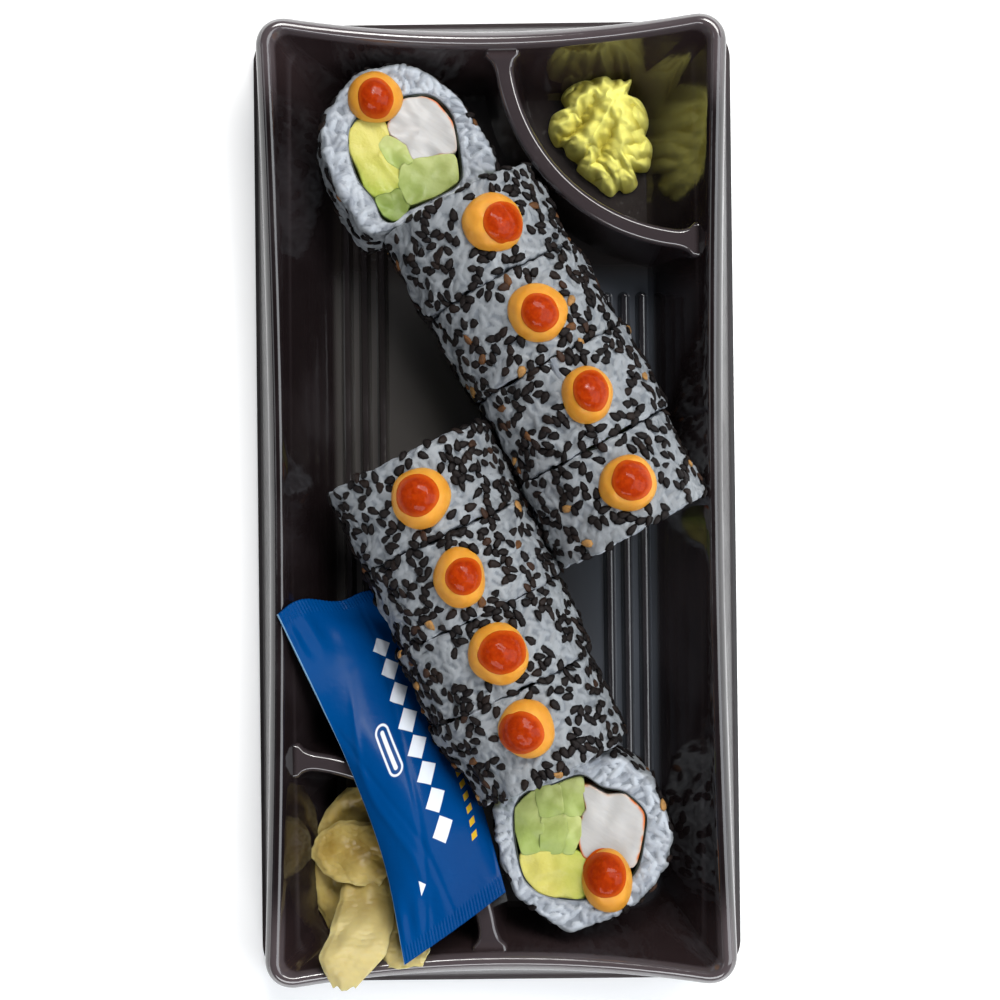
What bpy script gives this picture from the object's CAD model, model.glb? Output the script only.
import math

import bpy
import numpy as np
from mathutils import Matrix, Vector


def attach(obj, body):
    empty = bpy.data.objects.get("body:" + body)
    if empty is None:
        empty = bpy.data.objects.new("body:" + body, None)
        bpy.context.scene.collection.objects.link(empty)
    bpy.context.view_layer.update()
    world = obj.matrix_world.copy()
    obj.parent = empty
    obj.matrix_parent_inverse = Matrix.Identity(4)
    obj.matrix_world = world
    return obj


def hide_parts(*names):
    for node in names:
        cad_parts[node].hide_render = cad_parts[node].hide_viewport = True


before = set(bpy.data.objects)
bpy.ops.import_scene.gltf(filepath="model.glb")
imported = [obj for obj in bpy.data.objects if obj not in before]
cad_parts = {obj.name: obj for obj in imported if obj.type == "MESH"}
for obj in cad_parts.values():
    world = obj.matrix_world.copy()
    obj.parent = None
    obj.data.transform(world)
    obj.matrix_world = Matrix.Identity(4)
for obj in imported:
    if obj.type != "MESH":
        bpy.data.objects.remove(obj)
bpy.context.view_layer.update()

mm = 0.001  # shapes are given in millimetres; the studio and the materials are in metres
body = "root"


# The camera looks down on the tray from close above its middle; its place and target are millimetres.
view = {
    "focalLength": 67.1,
    "sensorWidth": 36.0,
    "place": (2.714, -2.776, 450.0),
    "target": (0.82, 0.14, 0.0),
    "rollDegrees": 0.65,
}

# Lamps: place, size, power and colour. The floor is lit by itself too, more so far away, so that it
# stays pale there.
studio = {
    "overheadColour": (0.10, 0.10, 0.11),
    "horizonColour": (0.84, 0.90, 1.0),
    "overheadFrom": 0.90,
    "overheadTo": 0.62,
    "worldStrength": 0.28,
    "leftShare": 0.46,
    "lamps": {
        "mainLamp": ((0.40, 0.72, 1.1), (1.0, 0.5), 20.0, (1.0, 0.985, 0.96)),
        "frontLamp": ((-0.10, -0.9, 0.85), (1.0, 0.4), 8.5, (0.97, 0.98, 1.0)),
        "smallLamp": ((0.10, 0.72, 1.0), (0.12, 0.06), 1.2, (1.0, 0.99, 0.97)),
        "leftLamp": ((-0.85, 0.1, 0.8), (0.2, 0.6), 0.4, (0.92, 0.96, 1.0)),
        "rightLamp": ((0.95, -0.1, 0.8), (0.8, 1.4), 11.0, (0.92, 0.96, 1.0)),
    },
    "floorSize": 6.0,
    "floorDrop": 0.0002,
    "floorColour": (0.93, 0.935, 0.94),
    "farFrom": (0.45, 1.3),
    "farColour": (0.86, 0.87, 0.88),
    "nearColour": (0.16, 0.16, 0.16),
}


# The camera's own axes come from where it looks and from a small roll about that line.
def addCamera():
    place = Vector(view["place"]) * mm
    back = (place - Vector(view["target"]) * mm).normalized()
    roll = math.radians(view["rollDegrees"])
    right = Vector((math.cos(roll), -math.sin(roll), 0))
    right = (right - right.dot(back) * back).normalized()
    up = back.cross(right)
    data = bpy.data.cameras.new("camera")
    data.lens = view["focalLength"]
    data.sensor_width = view["sensorWidth"]
    data.clip_start = 0.01
    camera = bpy.data.objects.new("camera", data)
    camera.matrix_world = Matrix((
        (right.x, up.x, back.x, place.x),
        (right.y, up.y, back.y, place.y),
        (right.z, up.z, back.z, place.z),
        (0, 0, 0, 1),
    ))
    bpy.context.collection.objects.link(camera)
    bpy.context.scene.camera = camera


def addLamp(name, place, size, power, colour):
    data = bpy.data.lights.new(name, "AREA")
    data.shape = "RECTANGLE"
    data.size, data.size_y = size
    data.energy = power
    data.color = colour
    lamp = bpy.data.objects.new(name, data)
    lamp.location = place
    lamp.rotation_euler = (-Vector(place)).to_track_quat("-Z", "Y").to_euler()
    bpy.context.collection.objects.link(lamp)


# Puts a fixed value or another node's output on a socket.
def feed(tree, socket, value):
    if isinstance(value, bpy.types.NodeSocket):
        tree.links.new(value, socket)
    else:
        socket.default_value = (*value, 1) if socket.type == "RGBA" else value


def addNode(tree, kind, inputs, **settings):
    node = tree.nodes.new(kind)
    for key, value in settings.items():
        setattr(node, key, value)
    for socket, value in inputs.items():
        feed(tree, node.inputs[socket], value)
    return node


def mixColour(tree, factor, first, second):
    return addNode(tree, "ShaderNodeMix", {0: factor, 6: first, 7: second}, data_type="RGBA").outputs[2]


def calculate(tree, operation, *values):
    return addNode(tree, "ShaderNodeMath", dict(enumerate(values)), operation=operation).outputs[0]


def multiply(tree, first, second):
    return calculate(tree, "MULTIPLY", first, second)


# A smooth step from toLow to toHigh while the value goes from fromLow to fromHigh.
def remap(tree, value, fromLow, fromHigh, toLow=0.0, toHigh=1.0):
    inputs = {"Value": value, "From Min": fromLow, "From Max": fromHigh, "To Min": toLow, "To Max": toHigh}
    return addNode(tree, "ShaderNodeMapRange", inputs, interpolation_type="SMOOTHSTEP").outputs["Result"]


# The value that a mesh carries on its points under this name.
def field(tree, name):
    return addNode(tree, "ShaderNodeAttribute", {}, attribute_name=name).outputs["Fac"]


def objectPlace(tree):
    return addNode(tree, "ShaderNodeTexCoord", {}).outputs["Object"]


def axesOf(tree, vector):
    return addNode(tree, "ShaderNodeSeparateXYZ", {"Vector": vector}).outputs


def noise(tree, vector, scale, detail):
    inputs = {"Vector": vector, "Scale": scale, "Detail": detail}
    return addNode(tree, "ShaderNodeTexNoise", inputs).outputs["Fac"]


# An empty node group with number inputs and one output: its tree, its inputs and its output's socket.
def newGroup(name, inputs, output):
    tree = bpy.data.node_groups.new(name, "ShaderNodeTree")
    for label, value in inputs.items():
        socket = tree.interface.new_socket(name=label, in_out="INPUT", socket_type="NodeSocketFloat")
        socket.default_value = value
    tree.interface.new_socket(name=output, in_out="OUTPUT", socket_type="NodeSocketFloat")
    return tree, tree.nodes.new("NodeGroupInput").outputs, tree.nodes.new("NodeGroupOutput").inputs[output]


# Soft blotches: noise in object space, cut to a mask between Low and High.
def makeBlotches():
    tree, given, mask = newGroup("softBlotches", {"Scale": 100, "Low": 0.4, "High": 0.6, "Detail": 3}, "Mask")
    cloud = noise(tree, objectPlace(tree), given["Scale"], given["Detail"])
    feed(tree, mask, remap(tree, cloud, given["Low"], given["High"]))
    return tree


# Fine relief: coarse and fine noise mixed by Share, as a height from 0 to 1.
def makeRelief():
    tree, given, height = newGroup("fineRelief", {"Coarse": 300, "Fine": 1500, "Share": 0.5}, "Height")
    place = objectPlace(tree)
    coarse, fine = noise(tree, place, given["Coarse"], 2), noise(tree, place, given["Fine"], 3)
    both = addNode(tree, "ShaderNodeMix", {0: given["Share"], 2: coarse, 3: fine}, data_type="FLOAT")
    feed(tree, height, both.outputs[0])
    return tree


# Parallel fibres: noise drawn out along one object axis, turned by an angle about Z.
def makeFibres():
    tree, given, height = newGroup("drawnFibres", {"Scale": 500, "Stretch": 0.08, "Turn": 0}, "Height")
    inputs = {"Vector": objectPlace(tree), "Angle": given["Turn"]}
    turned = addNode(tree, "ShaderNodeVectorRotate", inputs, rotation_type="Z_AXIS")
    x, y, z = axesOf(tree, turned.outputs["Vector"])
    drawn = addNode(tree, "ShaderNodeCombineXYZ", {"X": multiply(tree, x, given["Stretch"]), "Y": y, "Z": z})
    feed(tree, height, noise(tree, drawn.outputs["Vector"], given["Scale"], 2))
    return tree


# A pale room with a dark opening straight overhead, so that level shiny surfaces stay dark.
def addWorld():
    world = bpy.data.worlds.new("studio")
    world.use_nodes = True
    tree = world.node_tree
    x, _, z = axesOf(tree, addNode(tree, "ShaderNodeTexCoord", {}).outputs["Generated"])
    overhead = remap(tree, z, studio["overheadTo"], studio["overheadFrom"])
    colour = mixColour(tree, overhead, studio["horizonColour"], studio["overheadColour"])
    share = remap(tree, x, -0.8, 0.3, studio["leftShare"], 1.0)
    background = tree.nodes["Background"]
    feed(tree, background.inputs["Color"], mixColour(tree, share, (0.0, 0.0, 0.0), colour))
    background.inputs["Strength"].default_value = studio["worldStrength"]
    bpy.context.scene.world = world
    bpy.context.scene.view_settings.view_transform = "Standard"


groups = {"blotches": makeBlotches(), "relief": makeRelief(), "fibres": makeFibres()}


def useGroup(tree, group, **values):
    return addNode(tree, "ShaderNodeGroup", values, node_tree=groups[group]).outputs[0]


# A new material with its tree and shader; fixed numbers go straight onto the shader's sockets.
def newMaterial(name, **sockets):
    material = bpy.data.materials.new(name)
    material.use_nodes = True
    tree = material.node_tree
    shader = tree.nodes["Principled BSDF"]
    for label, value in sockets.items():
        feed(tree, shader.inputs[label.replace("_", " ")], value)
    return material, tree, shader


# Gives the shader its colour, its roughness and a relief of this height, distance and strength.
def finishShader(tree, shader, colour, rough, height, distance, strength):
    bump = addNode(tree, "ShaderNodeBump", {"Strength": strength, "Distance": distance, "Height": height})
    feed(tree, shader.inputs["Base Color"], colour)
    feed(tree, shader.inputs["Roughness"], rough)
    feed(tree, shader.inputs["Normal"], bump.outputs["Normal"])


# Shapes are arrays of points in millimetres; makeMesh writes them in metres.
def unit(vectors):
    return vectors / np.maximum(np.linalg.norm(vectors, axis=-1, keepdims=True), 1e-9)


# Volume inside a closed surface, from the triangles of its faces: below zero where it is inside out.
def signedVolume(points, faceSets):
    total = 0.0
    for faces in faceSets:
        for k in range(1, faces.shape[1] - 1):
            total += np.sum(points[faces[:, 0]] * np.cross(points[faces[:, k]], points[faces[:, k + 1]]))
    return total / 6


# A mesh from points, sets of faces with equally many corners, values on its points and a UV map. Faces
# that enclose a negative volume are turned round first.
def makeMesh(name, points, faceSets, fields=None, uv=None):
    faceSets = [np.asarray(faces, dtype=np.int32) for faces in faceSets]
    if signedVolume(points, faceSets) < 0:
        faceSets = [faces[:, ::-1] for faces in faceSets]
    corners = np.concatenate([faces.ravel() for faces in faceSets])
    sizes = np.concatenate([np.full(len(faces), faces.shape[1], dtype=np.int32) for faces in faceSets])
    mesh = bpy.data.meshes.new(name)
    mesh.vertices.add(len(points))
    mesh.vertices.foreach_set("co", (points * mm).astype(np.float32).ravel())
    mesh.loops.add(len(corners))
    mesh.loops.foreach_set("vertex_index", corners)
    mesh.polygons.add(len(sizes))
    mesh.polygons.foreach_set("loop_start", np.concatenate([[0], np.cumsum(sizes)[:-1]]).astype(np.int32))
    mesh.polygons.foreach_set("use_smooth", np.ones(len(sizes), dtype=bool))
    mesh.update(calc_edges=True)
    for label, values in (fields or {}).items():
        layer = mesh.attributes.new(label, "FLOAT", "POINT")
        layer.data.foreach_set("value", values.astype(np.float32).ravel())
    if uv is not None:
        mesh.uv_layers.new(name="print").data.foreach_set("uv", uv[corners].astype(np.float32).ravel())
    mesh.validate()
    return mesh


def addObject(name, mesh):
    made = bpy.data.objects.new(name, mesh)
    bpy.context.collection.objects.link(made)
    return made


# A finished mesh in its place, and the solids that it stands for.
def addPiece(name, mesh, material, slot, *nodes):
    piece = addObject(name, mesh)
    mesh.materials.clear()
    mesh.materials.append(material)
    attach(piece, body)
    if nodes:
        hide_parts(*nodes)
    return piece


def addSurface(name, surface, material, slot, *nodes):
    mesh = makeMesh(name, surface["points"], surface["faces"], surface.get("fields"), surface.get("uv"))
    return addPiece(name, mesh, material, slot, *nodes)


# Several surfaces as one.
def joinParts(parts):
    points, faceSets, fields, start = [], [], {}, 0
    for part in parts:
        points.append(part["points"])
        faceSets += [faces + start for faces in part["faces"]]
        for label, values in part.get("fields", {}).items():
            fields.setdefault(label, []).append(values)
        start += len(part["points"])
    return {
        "points": np.concatenate(points),
        "faces": faceSets,
        "fields": {label: np.concatenate(values) for label, values in fields.items()},
    }


# Faces of a grid that closes in both directions.
def wrappedFaces(countU, countV):
    index = np.arange(countU * countV).reshape(countU, countV)
    ahead = np.roll(index, -1, 0)
    return np.stack([index, ahead, np.roll(ahead, -1, 1), np.roll(index, -1, 1)], -1).reshape(-1, 4)


# A closed surface through rings (ring, place on ring, xyz), with a fan to the middle at both ends.
def ringSurface(rings, fields=None):
    levels, around = rings.shape[:2]
    index = np.arange(levels * around).reshape(levels, around)
    low, high = index[:-1], index[1:]
    quads = np.stack([low, np.roll(low, -1, 1), np.roll(high, -1, 1), high], -1).reshape(-1, 4)
    hubs = levels * around
    first, last = index[0], index[-1]
    fans = np.concatenate([
        np.stack([np.full(around, hubs), np.roll(first, -1), first], -1),
        np.stack([np.full(around, hubs + 1), last, np.roll(last, -1)], -1),
    ])
    points = np.concatenate([rings.reshape(-1, 3), [rings[0].mean(0)], [rings[-1].mean(0)]])
    allFields = {
        label: np.concatenate([values.ravel(), [values[0].mean()], [values[-1].mean()]])
        for label, values in (fields or {}).items()
    }
    return {"points": points, "faces": [quads, fans], "fields": allFields}


# A closed thin body between an upper and a lower grid, joined along their border.
def sheetSurface(upper, lower, fields=None):
    countU, countV = upper.shape[:2]
    index = np.arange(countU * countV).reshape(countU, countV)
    square = np.stack([index[:-1, :-1], index[1:, :-1], index[1:, 1:], index[:-1, 1:]], -1).reshape(-1, 4)
    border = np.concatenate([index[:-1, 0], index[-1, :-1], index[:0:-1, -1], index[0, :0:-1]])
    under = countU * countV
    ahead = np.roll(border, -1)
    strip = np.stack([ahead, border, border + under, ahead + under], -1)
    points = np.concatenate([upper.reshape(-1, 3), lower.reshape(-1, 3)])
    allFields = {label: np.concatenate([values.ravel()] * 2) for label, values in (fields or {}).items()}
    return {"points": points, "faces": [square, square[:, ::-1] + under, strip], "fields": allFields}


# Unit normals of a grid from the differences between neighbours; a grid that closes in both
# directions has them turned outwards.
def gridNormals(grid, closed=False):
    across = np.roll(grid, -1, 0) - np.roll(grid, 1, 0)
    along = np.roll(grid, -1, 1) - np.roll(grid, 1, 1)
    if not closed:
        across[0], across[-1] = grid[1] - grid[0], grid[-1] - grid[-2]
        along[:, 0], along[:, -1] = grid[:, 1] - grid[:, 0], grid[:, -1] - grid[:, -2]
    turned = np.cross(across, along)
    if closed and np.sum(grid * turned) < 0:
        turned = -turned
    return unit(turned)


def facingUp(normals):
    return -normals if normals[..., 2].mean() < 0 else normals


# Soft unevenness of about 1 in height: a sum of sines in random directions, about one size apart.
def softField(points, size, seed, waves=16):
    random = np.random.default_rng(seed)
    directions = unit(random.normal(size=(waves, 3))) * (2 * np.pi / size)
    directions = directions * random.uniform(0.6, 1.5, (waves, 1))
    phases = random.uniform(0, 2 * np.pi, waves)
    return np.sin(points @ directions.T + phases).sum(-1) / math.sqrt(waves / 2)


def smoothStep(low, high, value):
    part = np.clip((value - low) / (high - low), 0, 1)
    return part * part * (3 - 2 * part)


# The lesser of two values, with the corner between them rounded over about one softness.
def softMin(first, second, softness):
    return -softness * np.logaddexp(-first / softness, -second / softness)


# A smooth curve through control rows, at parts from 0 to 1: Catmull-Rom, its ends carried straight on.
def smoothCurve(controls, parts, closed=False):
    controls = np.asarray(controls, dtype=float)
    count = len(controls) if closed else len(controls) - 1
    if closed:
        padded = np.concatenate([controls[-1:], controls, controls[:2]])
    else:
        before, after = 2 * controls[:1] - controls[1:2], 2 * controls[-1:] - controls[-2:-1]
        padded = np.concatenate([before, controls, after])
    place = np.asarray(parts) * count
    k = np.clip(np.floor(place).astype(int), 0, count - 1)
    t = (place - k)[:, None]
    a, b, c, d = (padded[k + i] for i in range(4))
    square, cube = 2 * a - 5 * b + 4 * c - d, 3 * b - a - 3 * c + d
    return 0.5 * (2 * b + (c - a) * t + square * t ** 2 + cube * t ** 3)


# Places out of many, each at least spacing from the others, tried in random order by their weight.
def pickSpots(points, weights, count, spacing, random):
    chance = weights / weights.sum()
    tries = random.choice(len(points), size=min(count * 6, np.count_nonzero(chance)), replace=False, p=chance)
    chosen = np.empty((count, 3))
    spots = []
    for spot in tries:
        offset = chosen[:len(spots)] - points[spot]
        if len(spots) == 0 or np.min(np.einsum("ij,ij->i", offset, offset)) > spacing ** 2:
            chosen[len(spots)] = points[spot]
            spots.append(spot)
            if len(spots) == count:
                break
    return np.array(spots)


# The tray: halves of its length and width at the flange, at the rim and at its foot.
trayShape = {
    "flangeHalf": (57.1, 114.3),
    "rimHalf": (51.2, 106.9),
    "footHalf": (38.6, 98.0),
    "cornerRadius": {"flange": 9.0, "rim": 6.5, "foot": 7.0},
    "rimHeight": 23.7,
    "cornerLift": 5.6,
    "cornerFlare": 0.034,
    "floorTop": 0.8,
    "sheet": 0.8,
    "cornerSteps": 18,
    "sideSteps": (26, 60),
}

# The arc of a compartment's wall, given for the one with the wasabi.
dividerShape = {
    "centre": (48.1, 105.0),
    "radius": 45.5,
    "fromDegrees": 179.4,
    "toDegrees": 271.5,
    "halfCrest": 2.1,
    "halfBase": 5.0,
    "height": 21.6,
    "crestEase": 1.3,
    "flareLength": 4.5,
    "flareWidth": 2.6,
    "steps": 72,
}

# Long ribs in the floor, on the right; turned half round they are on the left too.
ribShape = {
    "places": (27.0, 31.2, 35.4),
    "fromY": -90.0,
    "toY": 48.5,
    "height": 2.0,
    "halfFoot": 1.5,
    "halfTop": 0.5,
}


# Rings round rectangles with round corners, bent as the tray is: out and up at the corners by the
# square of the place along each side. Every argument is a column, one row for each ring.
def trayRings(halfX, halfY, radius, z, lift, flare):
    steps = trayShape["cornerSteps"]
    parts = []
    for corner in range(4):
        signX = 1 if corner in (0, 3) else -1
        signY = 1 if corner < 2 else -1
        angle = np.radians(90 * (corner + np.linspace(0, 1, steps + 1)))[None, :]
        x = signX * (halfX - radius) + radius * np.cos(angle)
        y = signY * (halfY - radius) + radius * np.sin(angle)
        count = trayShape["sideSteps"][corner % 2]
        part = (np.arange(1, count) / count)[None, :]
        endX, endY = x[:, -1:], y[:, -1:]
        sideX = endX * (1 - 2 * part) if corner % 2 == 0 else endX + 0 * part
        sideY = endY * (1 - 2 * part) if corner % 2 == 1 else endY + 0 * part
        parts.append(np.stack([np.hstack([x, sideX]), np.hstack([y, sideY])], -1))
    flat = np.concatenate(parts, axis=1)
    alongX = (flat[..., 0] / halfX) ** 2
    alongY = (flat[..., 1] / halfY) ** 2
    return np.stack([
        flat[..., 0] * (1 + flare * alongY),
        flat[..., 1] * (1 + flare * alongX),
        z + lift * alongX * alongY,
    ], -1)


# A chain of rows with every inner corner rounded by a short curve, and long spans cut into steps.
def easeChain(rows, eases, steps, longest):
    rows = np.asarray(rows, dtype=float)
    chain = [rows[:1]]
    for k in range(1, len(rows) - 1):
        before, after = rows[k - 1] - rows[k], rows[k + 1] - rows[k]
        reachBefore = min(eases[k] / np.hypot(before[0], before[3]), 0.48)
        reachAfter = min(eases[k] / np.hypot(after[0], after[3]), 0.48)
        t = np.linspace(0, 1, steps)[:, None]
        start, end = rows[k] + before * reachBefore, rows[k] + after * reachAfter
        chain.append((1 - t) ** 2 * start + 2 * t * (1 - t) * rows[k] + t ** 2 * end)
    chain.append(rows[-1:])
    full = [chain[0]]
    for part in chain[1:]:
        gapRow = part[0] - full[-1][-1]
        count = int(np.hypot(gapRow[0], gapRow[3]) / longest)
        if count:
            t = (np.arange(1, count + 1) / (count + 1))[:, None]
            full.append(full[-1][-1] + t * gapRow)
        full.append(part)
    return np.concatenate(full)


# The tray's upper surface moved along its own normal by grow, from the flange over the rim to the
# floor, closed below: each station has its inset, its height and the direction in which it moves.
def trayBelow(grow, edgeOut, bottom):
    shape = trayShape
    rim = shape["rimHeight"]
    stations = [
        ("flange", 0, 4.0, 0, 1, 0.0),
        ("flange", 1.2, 4.5, 0.4, 0.9, 0.7),
        ("rim", -0.9, 21.2, 1, 0.2, 1.2),
        ("rim", 0, rim - 0.9, 0.9, 0.4, 0.6),
        ("rim", 0.7, rim, 0.3, 1, 0.6),
        ("rim", 2.2, rim, -0.2, 1, 0.7),
        ("rim", 3.1, rim - 1.3, -0.9, 0.45, 1.0),
        ("foot", 0, shape["floorTop"] + 1.6, -0.7, 0.7, 1.6),
        ("foot", 1.6, shape["floorTop"], -0.2, 1, 1.1),
    ]
    rows, eases = [], []
    for source, inset, z, moveX, moveZ, ease in stations:
        halfX, halfY = shape[source + "Half"]
        out = moveX * grow - inset
        bent = source == "rim"
        rows.append((
            halfX + out, halfY + out, max(shape["cornerRadius"][source] + out, 2.0), z + moveZ * grow,
            shape["cornerLift"] * bent, shape["cornerFlare"] * bent,
        ))
        eases.append(ease)
    chain = easeChain(rows, eases, 6, 1.6)
    halfX, halfY = shape["flangeHalf"]
    radius = shape["cornerRadius"]["flange"] + edgeOut
    base = [(halfX + edgeOut, halfY + edgeOut, radius, bottom, 0, 0)]
    if edgeOut:
        base.append((halfX + edgeOut, halfY + edgeOut, radius, rows[0][3], 0, 0))
    chain = np.concatenate([np.array(base, dtype=float), chain])
    return ringSurface(trayRings(*(chain[:, k:k + 1] for k in range(6))))


# A bar along an arc with sloping sides and an eased crest. Near its ends it widens on a quarter round,
# so that it runs into the wall in a fillet. Turned half round, it is the other compartment's.
def dividerBar(grow, bottom, turned):
    shape = dividerShape
    part = np.linspace(0, 1, shape["steps"])
    angle = np.radians(shape["fromDegrees"] + (shape["toDegrees"] - shape["fromDegrees"]) * part)
    length = shape["radius"] * abs(angle[-1] - angle[0])
    fromEnd = np.minimum(part, 1 - part) * length
    near = np.clip(1 - (fromEnd - 3.0) / shape["flareLength"], 0, 1)
    flare = shape["flareWidth"] * (1 - np.sqrt(1 - 0.96 * near ** 2))
    ease = shape["crestEase"]
    crest, base, top = shape["halfCrest"] + grow, shape["halfBase"] + grow, shape["height"] + grow
    quarter = np.radians(np.linspace(0, 78, 6))
    side = np.stack([crest - ease + ease * np.cos(quarter), top - ease + ease * np.sin(quarter)], -1)
    half = np.concatenate([[[base, bottom]], side])
    profile = np.concatenate([half, half[::-1] * (-1, 1)])
    out = profile[None, :, 0] + np.sign(profile[None, :, 0]) * flare[:, None]
    reach = shape["radius"] + out
    x = shape["centre"][0] + reach * np.cos(angle)[:, None]
    y = shape["centre"][1] + reach * np.sin(angle)[:, None]
    sign = -1 if turned else 1
    return ringSurface(np.stack([sign * x, sign * y, profile[:, 1] + 0 * x], -1))


# A long rib: stadium rings that narrow from foot to top.
def ribBar(x, turned):
    shape = ribShape
    rise = np.array([-0.6, 0.0, 0.25, 0.5, 0.72, 0.88, 0.97, 1.0])
    half = shape["halfTop"] + (shape["halfFoot"] - shape["halfTop"]) * (1 - np.clip(rise, 0, 1)) ** 0.7
    half[-1] *= 0.5
    angle = np.linspace(0, 2 * np.pi, 32, endpoint=False)
    middle = (shape["fromY"] + shape["toY"]) / 2
    reach = (shape["toY"] - shape["fromY"]) / 2
    sign = -1 if turned else 1
    rings = np.stack([
        sign * (x + half[:, None] * np.cos(angle)),
        sign * (middle + half[:, None] * np.sin(angle) + np.sign(np.sin(angle + 1e-6)) * reach),
        np.broadcast_to((trayShape["floorTop"] + shape["height"] * rise)[:, None], (len(rise), len(angle))),
    ], -1)
    return ringSurface(rings)


# Adds and cuts closed bodies by Boolean modifiers, then keeps the result as a plain mesh.
def combine(name, start, added, removed):
    target = addObject(name, makeMesh(name, start["points"], start["faces"]))
    tools = []
    for operation, parts in (("UNION", added), ("DIFFERENCE", removed)):
        for part in parts:
            tool = addObject(name + "Tool", makeMesh(name + "Tool", part["points"], part["faces"]))
            tools.append(tool)
            modifier = target.modifiers.new("join", "BOOLEAN")
            modifier.operation = operation
            modifier.solver = "MANIFOLD"
            modifier.object = tool
    bpy.context.view_layer.update()
    graph = bpy.context.evaluated_depsgraph_get()
    mesh = bpy.data.meshes.new_from_object(target.evaluated_get(graph))
    for extra in [target, *tools]:
        old = extra.data
        bpy.data.objects.remove(extra)
        bpy.data.meshes.remove(old)
    return mesh


# Places in metres that divide the tray's surface: each is where a tone begins and where it is full.
trayLook = {
    "dark": ((0.008, 0.0054, 0.0058), (0.016, 0.012, 0.013)),
    "ends": (0.027, 0.0165, 0.017),
    "endsFrom": (0.086, 0.102),
    "endsShare": 0.6,
    "floorFrom": (0.0035, 0.001),
    "floorShare": 0.8,
    "floor": (0.062, 0.058, 0.055),
    "floorInCorner": (0.026, 0.021, 0.019),
    "floorOnRight": (0.062, 0.070, 0.084),
    "cornerFrom": (0.050, 0.058),
    "rightFrom": (0.0, 0.03),
    "dullFrom": (0.03, 0.016),
    "rim": (0.062, 0.049, 0.052),
    "rimFrom": (-0.0024, -0.0012),
    "sideRimFrom": (0.0445, 0.0463),
    "crest": (0.031, 0.024, 0.026),
    "crestFrom": (0.0196, 0.0208),
    "crestWide": (0.0475, 0.0455),
    "crestFar": (0.104, 0.101),
    "skirtFrom": (0.0215, 0.0195),
    "skirtWide": (0.0512, 0.0524),
    "skirtFar": (0.1080, 0.1092),
    "gloss": 0.07,
    "dulled": {"smears": 0.1, "scuffs": 0.04, "skirt": 0.3, "specks": 0.08},
}


# Dark glossy plastic, browner at the ends, greyer on the floor, where the middle is scuffed dull. The
# bent rim and the crests of the dividers are paler, where the sheet was drawn out.
def trayPlastic(name, shine):
    look = trayLook
    material, tree, shader = newMaterial(name, IOR=1.72, Specular_IOR_Level=shine)
    x, y, z = axesOf(tree, objectPlace(tree))
    wide, far = calculate(tree, "ABSOLUTE", x), calculate(tree, "ABSOLUTE", y)
    smears = useGroup(tree, "blotches", Scale=38, Low=0.42, High=0.68, Detail=5)
    specks = useGroup(tree, "blotches", Scale=900, Low=0.62, High=0.72, Detail=1)
    onFloor = remap(tree, z, *look["floorFrom"])
    atEnds = remap(tree, far, *look["endsFrom"])
    inCorner = remap(tree, y, *look["cornerFrom"])
    onRight = multiply(tree, remap(tree, x, *look["rightFrom"]), remap(tree, y, *look["cornerFrom"][::-1]))
    floor = mixColour(tree, inCorner, look["floor"], look["floorInCorner"])
    floor = mixColour(tree, onRight, floor, look["floorOnRight"])
    colour = mixColour(tree, smears, *look["dark"])
    colour = mixColour(tree, multiply(tree, onFloor, look["floorShare"]), colour, floor)
    colour = mixColour(tree, multiply(tree, atEnds, look["endsShare"]), colour, look["ends"])

    halfX, halfY = trayShape["rimHalf"]
    lift = trayShape["cornerLift"] * mm / (halfX * halfY * mm * mm) ** 2
    squares = multiply(tree, calculate(tree, "POWER", wide, 2.0), calculate(tree, "POWER", far, 2.0))
    rimTop = calculate(tree, "MULTIPLY_ADD", squares, lift, trayShape["rimHeight"] * mm)
    onRim = remap(tree, calculate(tree, "SUBTRACT", z, rimTop), *look["rimFrom"])
    notAtEnds = calculate(tree, "SUBTRACT", 1.0, atEnds)
    onSide = multiply(tree, remap(tree, wide, *look["sideRimFrom"]), notAtEnds)
    onRim = multiply(tree, onRim, calculate(tree, "SUBTRACT", 1.0, onSide))
    onCrest = multiply(tree, remap(tree, wide, *look["crestWide"]), remap(tree, far, *look["crestFar"]))
    onCrest = multiply(tree, onCrest, remap(tree, z, *look["crestFrom"]))
    pale = mixColour(tree, onCrest, look["rim"], look["crest"])
    colour = mixColour(tree, calculate(tree, "MAXIMUM", onRim, onCrest), colour, pale)

    scuffs = multiply(tree, onFloor, remap(tree, wide, *look["dullFrom"]))
    outX, outY = remap(tree, wide, *look["skirtWide"]), remap(tree, far, *look["skirtFar"])
    skirt = multiply(tree, calculate(tree, "MAXIMUM", outX, outY), remap(tree, z, *look["skirtFrom"]))
    rough = look["gloss"]
    masks = {"smears": smears, "scuffs": scuffs, "skirt": skirt, "specks": specks}
    for kind, mask in masks.items():
        rough = calculate(tree, "MULTIPLY_ADD", mask, look["dulled"][kind], rough)
    relief = useGroup(tree, "relief", Coarse=55, Fine=420, Share=0.12)
    finishShader(tree, shader, colour, rough, relief, 0.0006, 0.35)
    return material


# True for places outside the crest of the rim: the distance to a rectangle with round corners, once
# the rim's flare towards the corners is taken back out.
def outsideRim(places):
    shape = trayShape
    half, radius = np.array(shape["rimHalf"]), shape["cornerRadius"]["rim"]
    flat = np.abs(places[:, :2])
    flat = flat / (1 + shape["cornerFlare"] * (flat[:, ::-1] / half[::-1]) ** 2)
    beyond = np.maximum(flat - (half - radius), 0)
    return np.hypot(beyond[:, 0], beyond[:, 1]) > radius - 0.4


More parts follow.
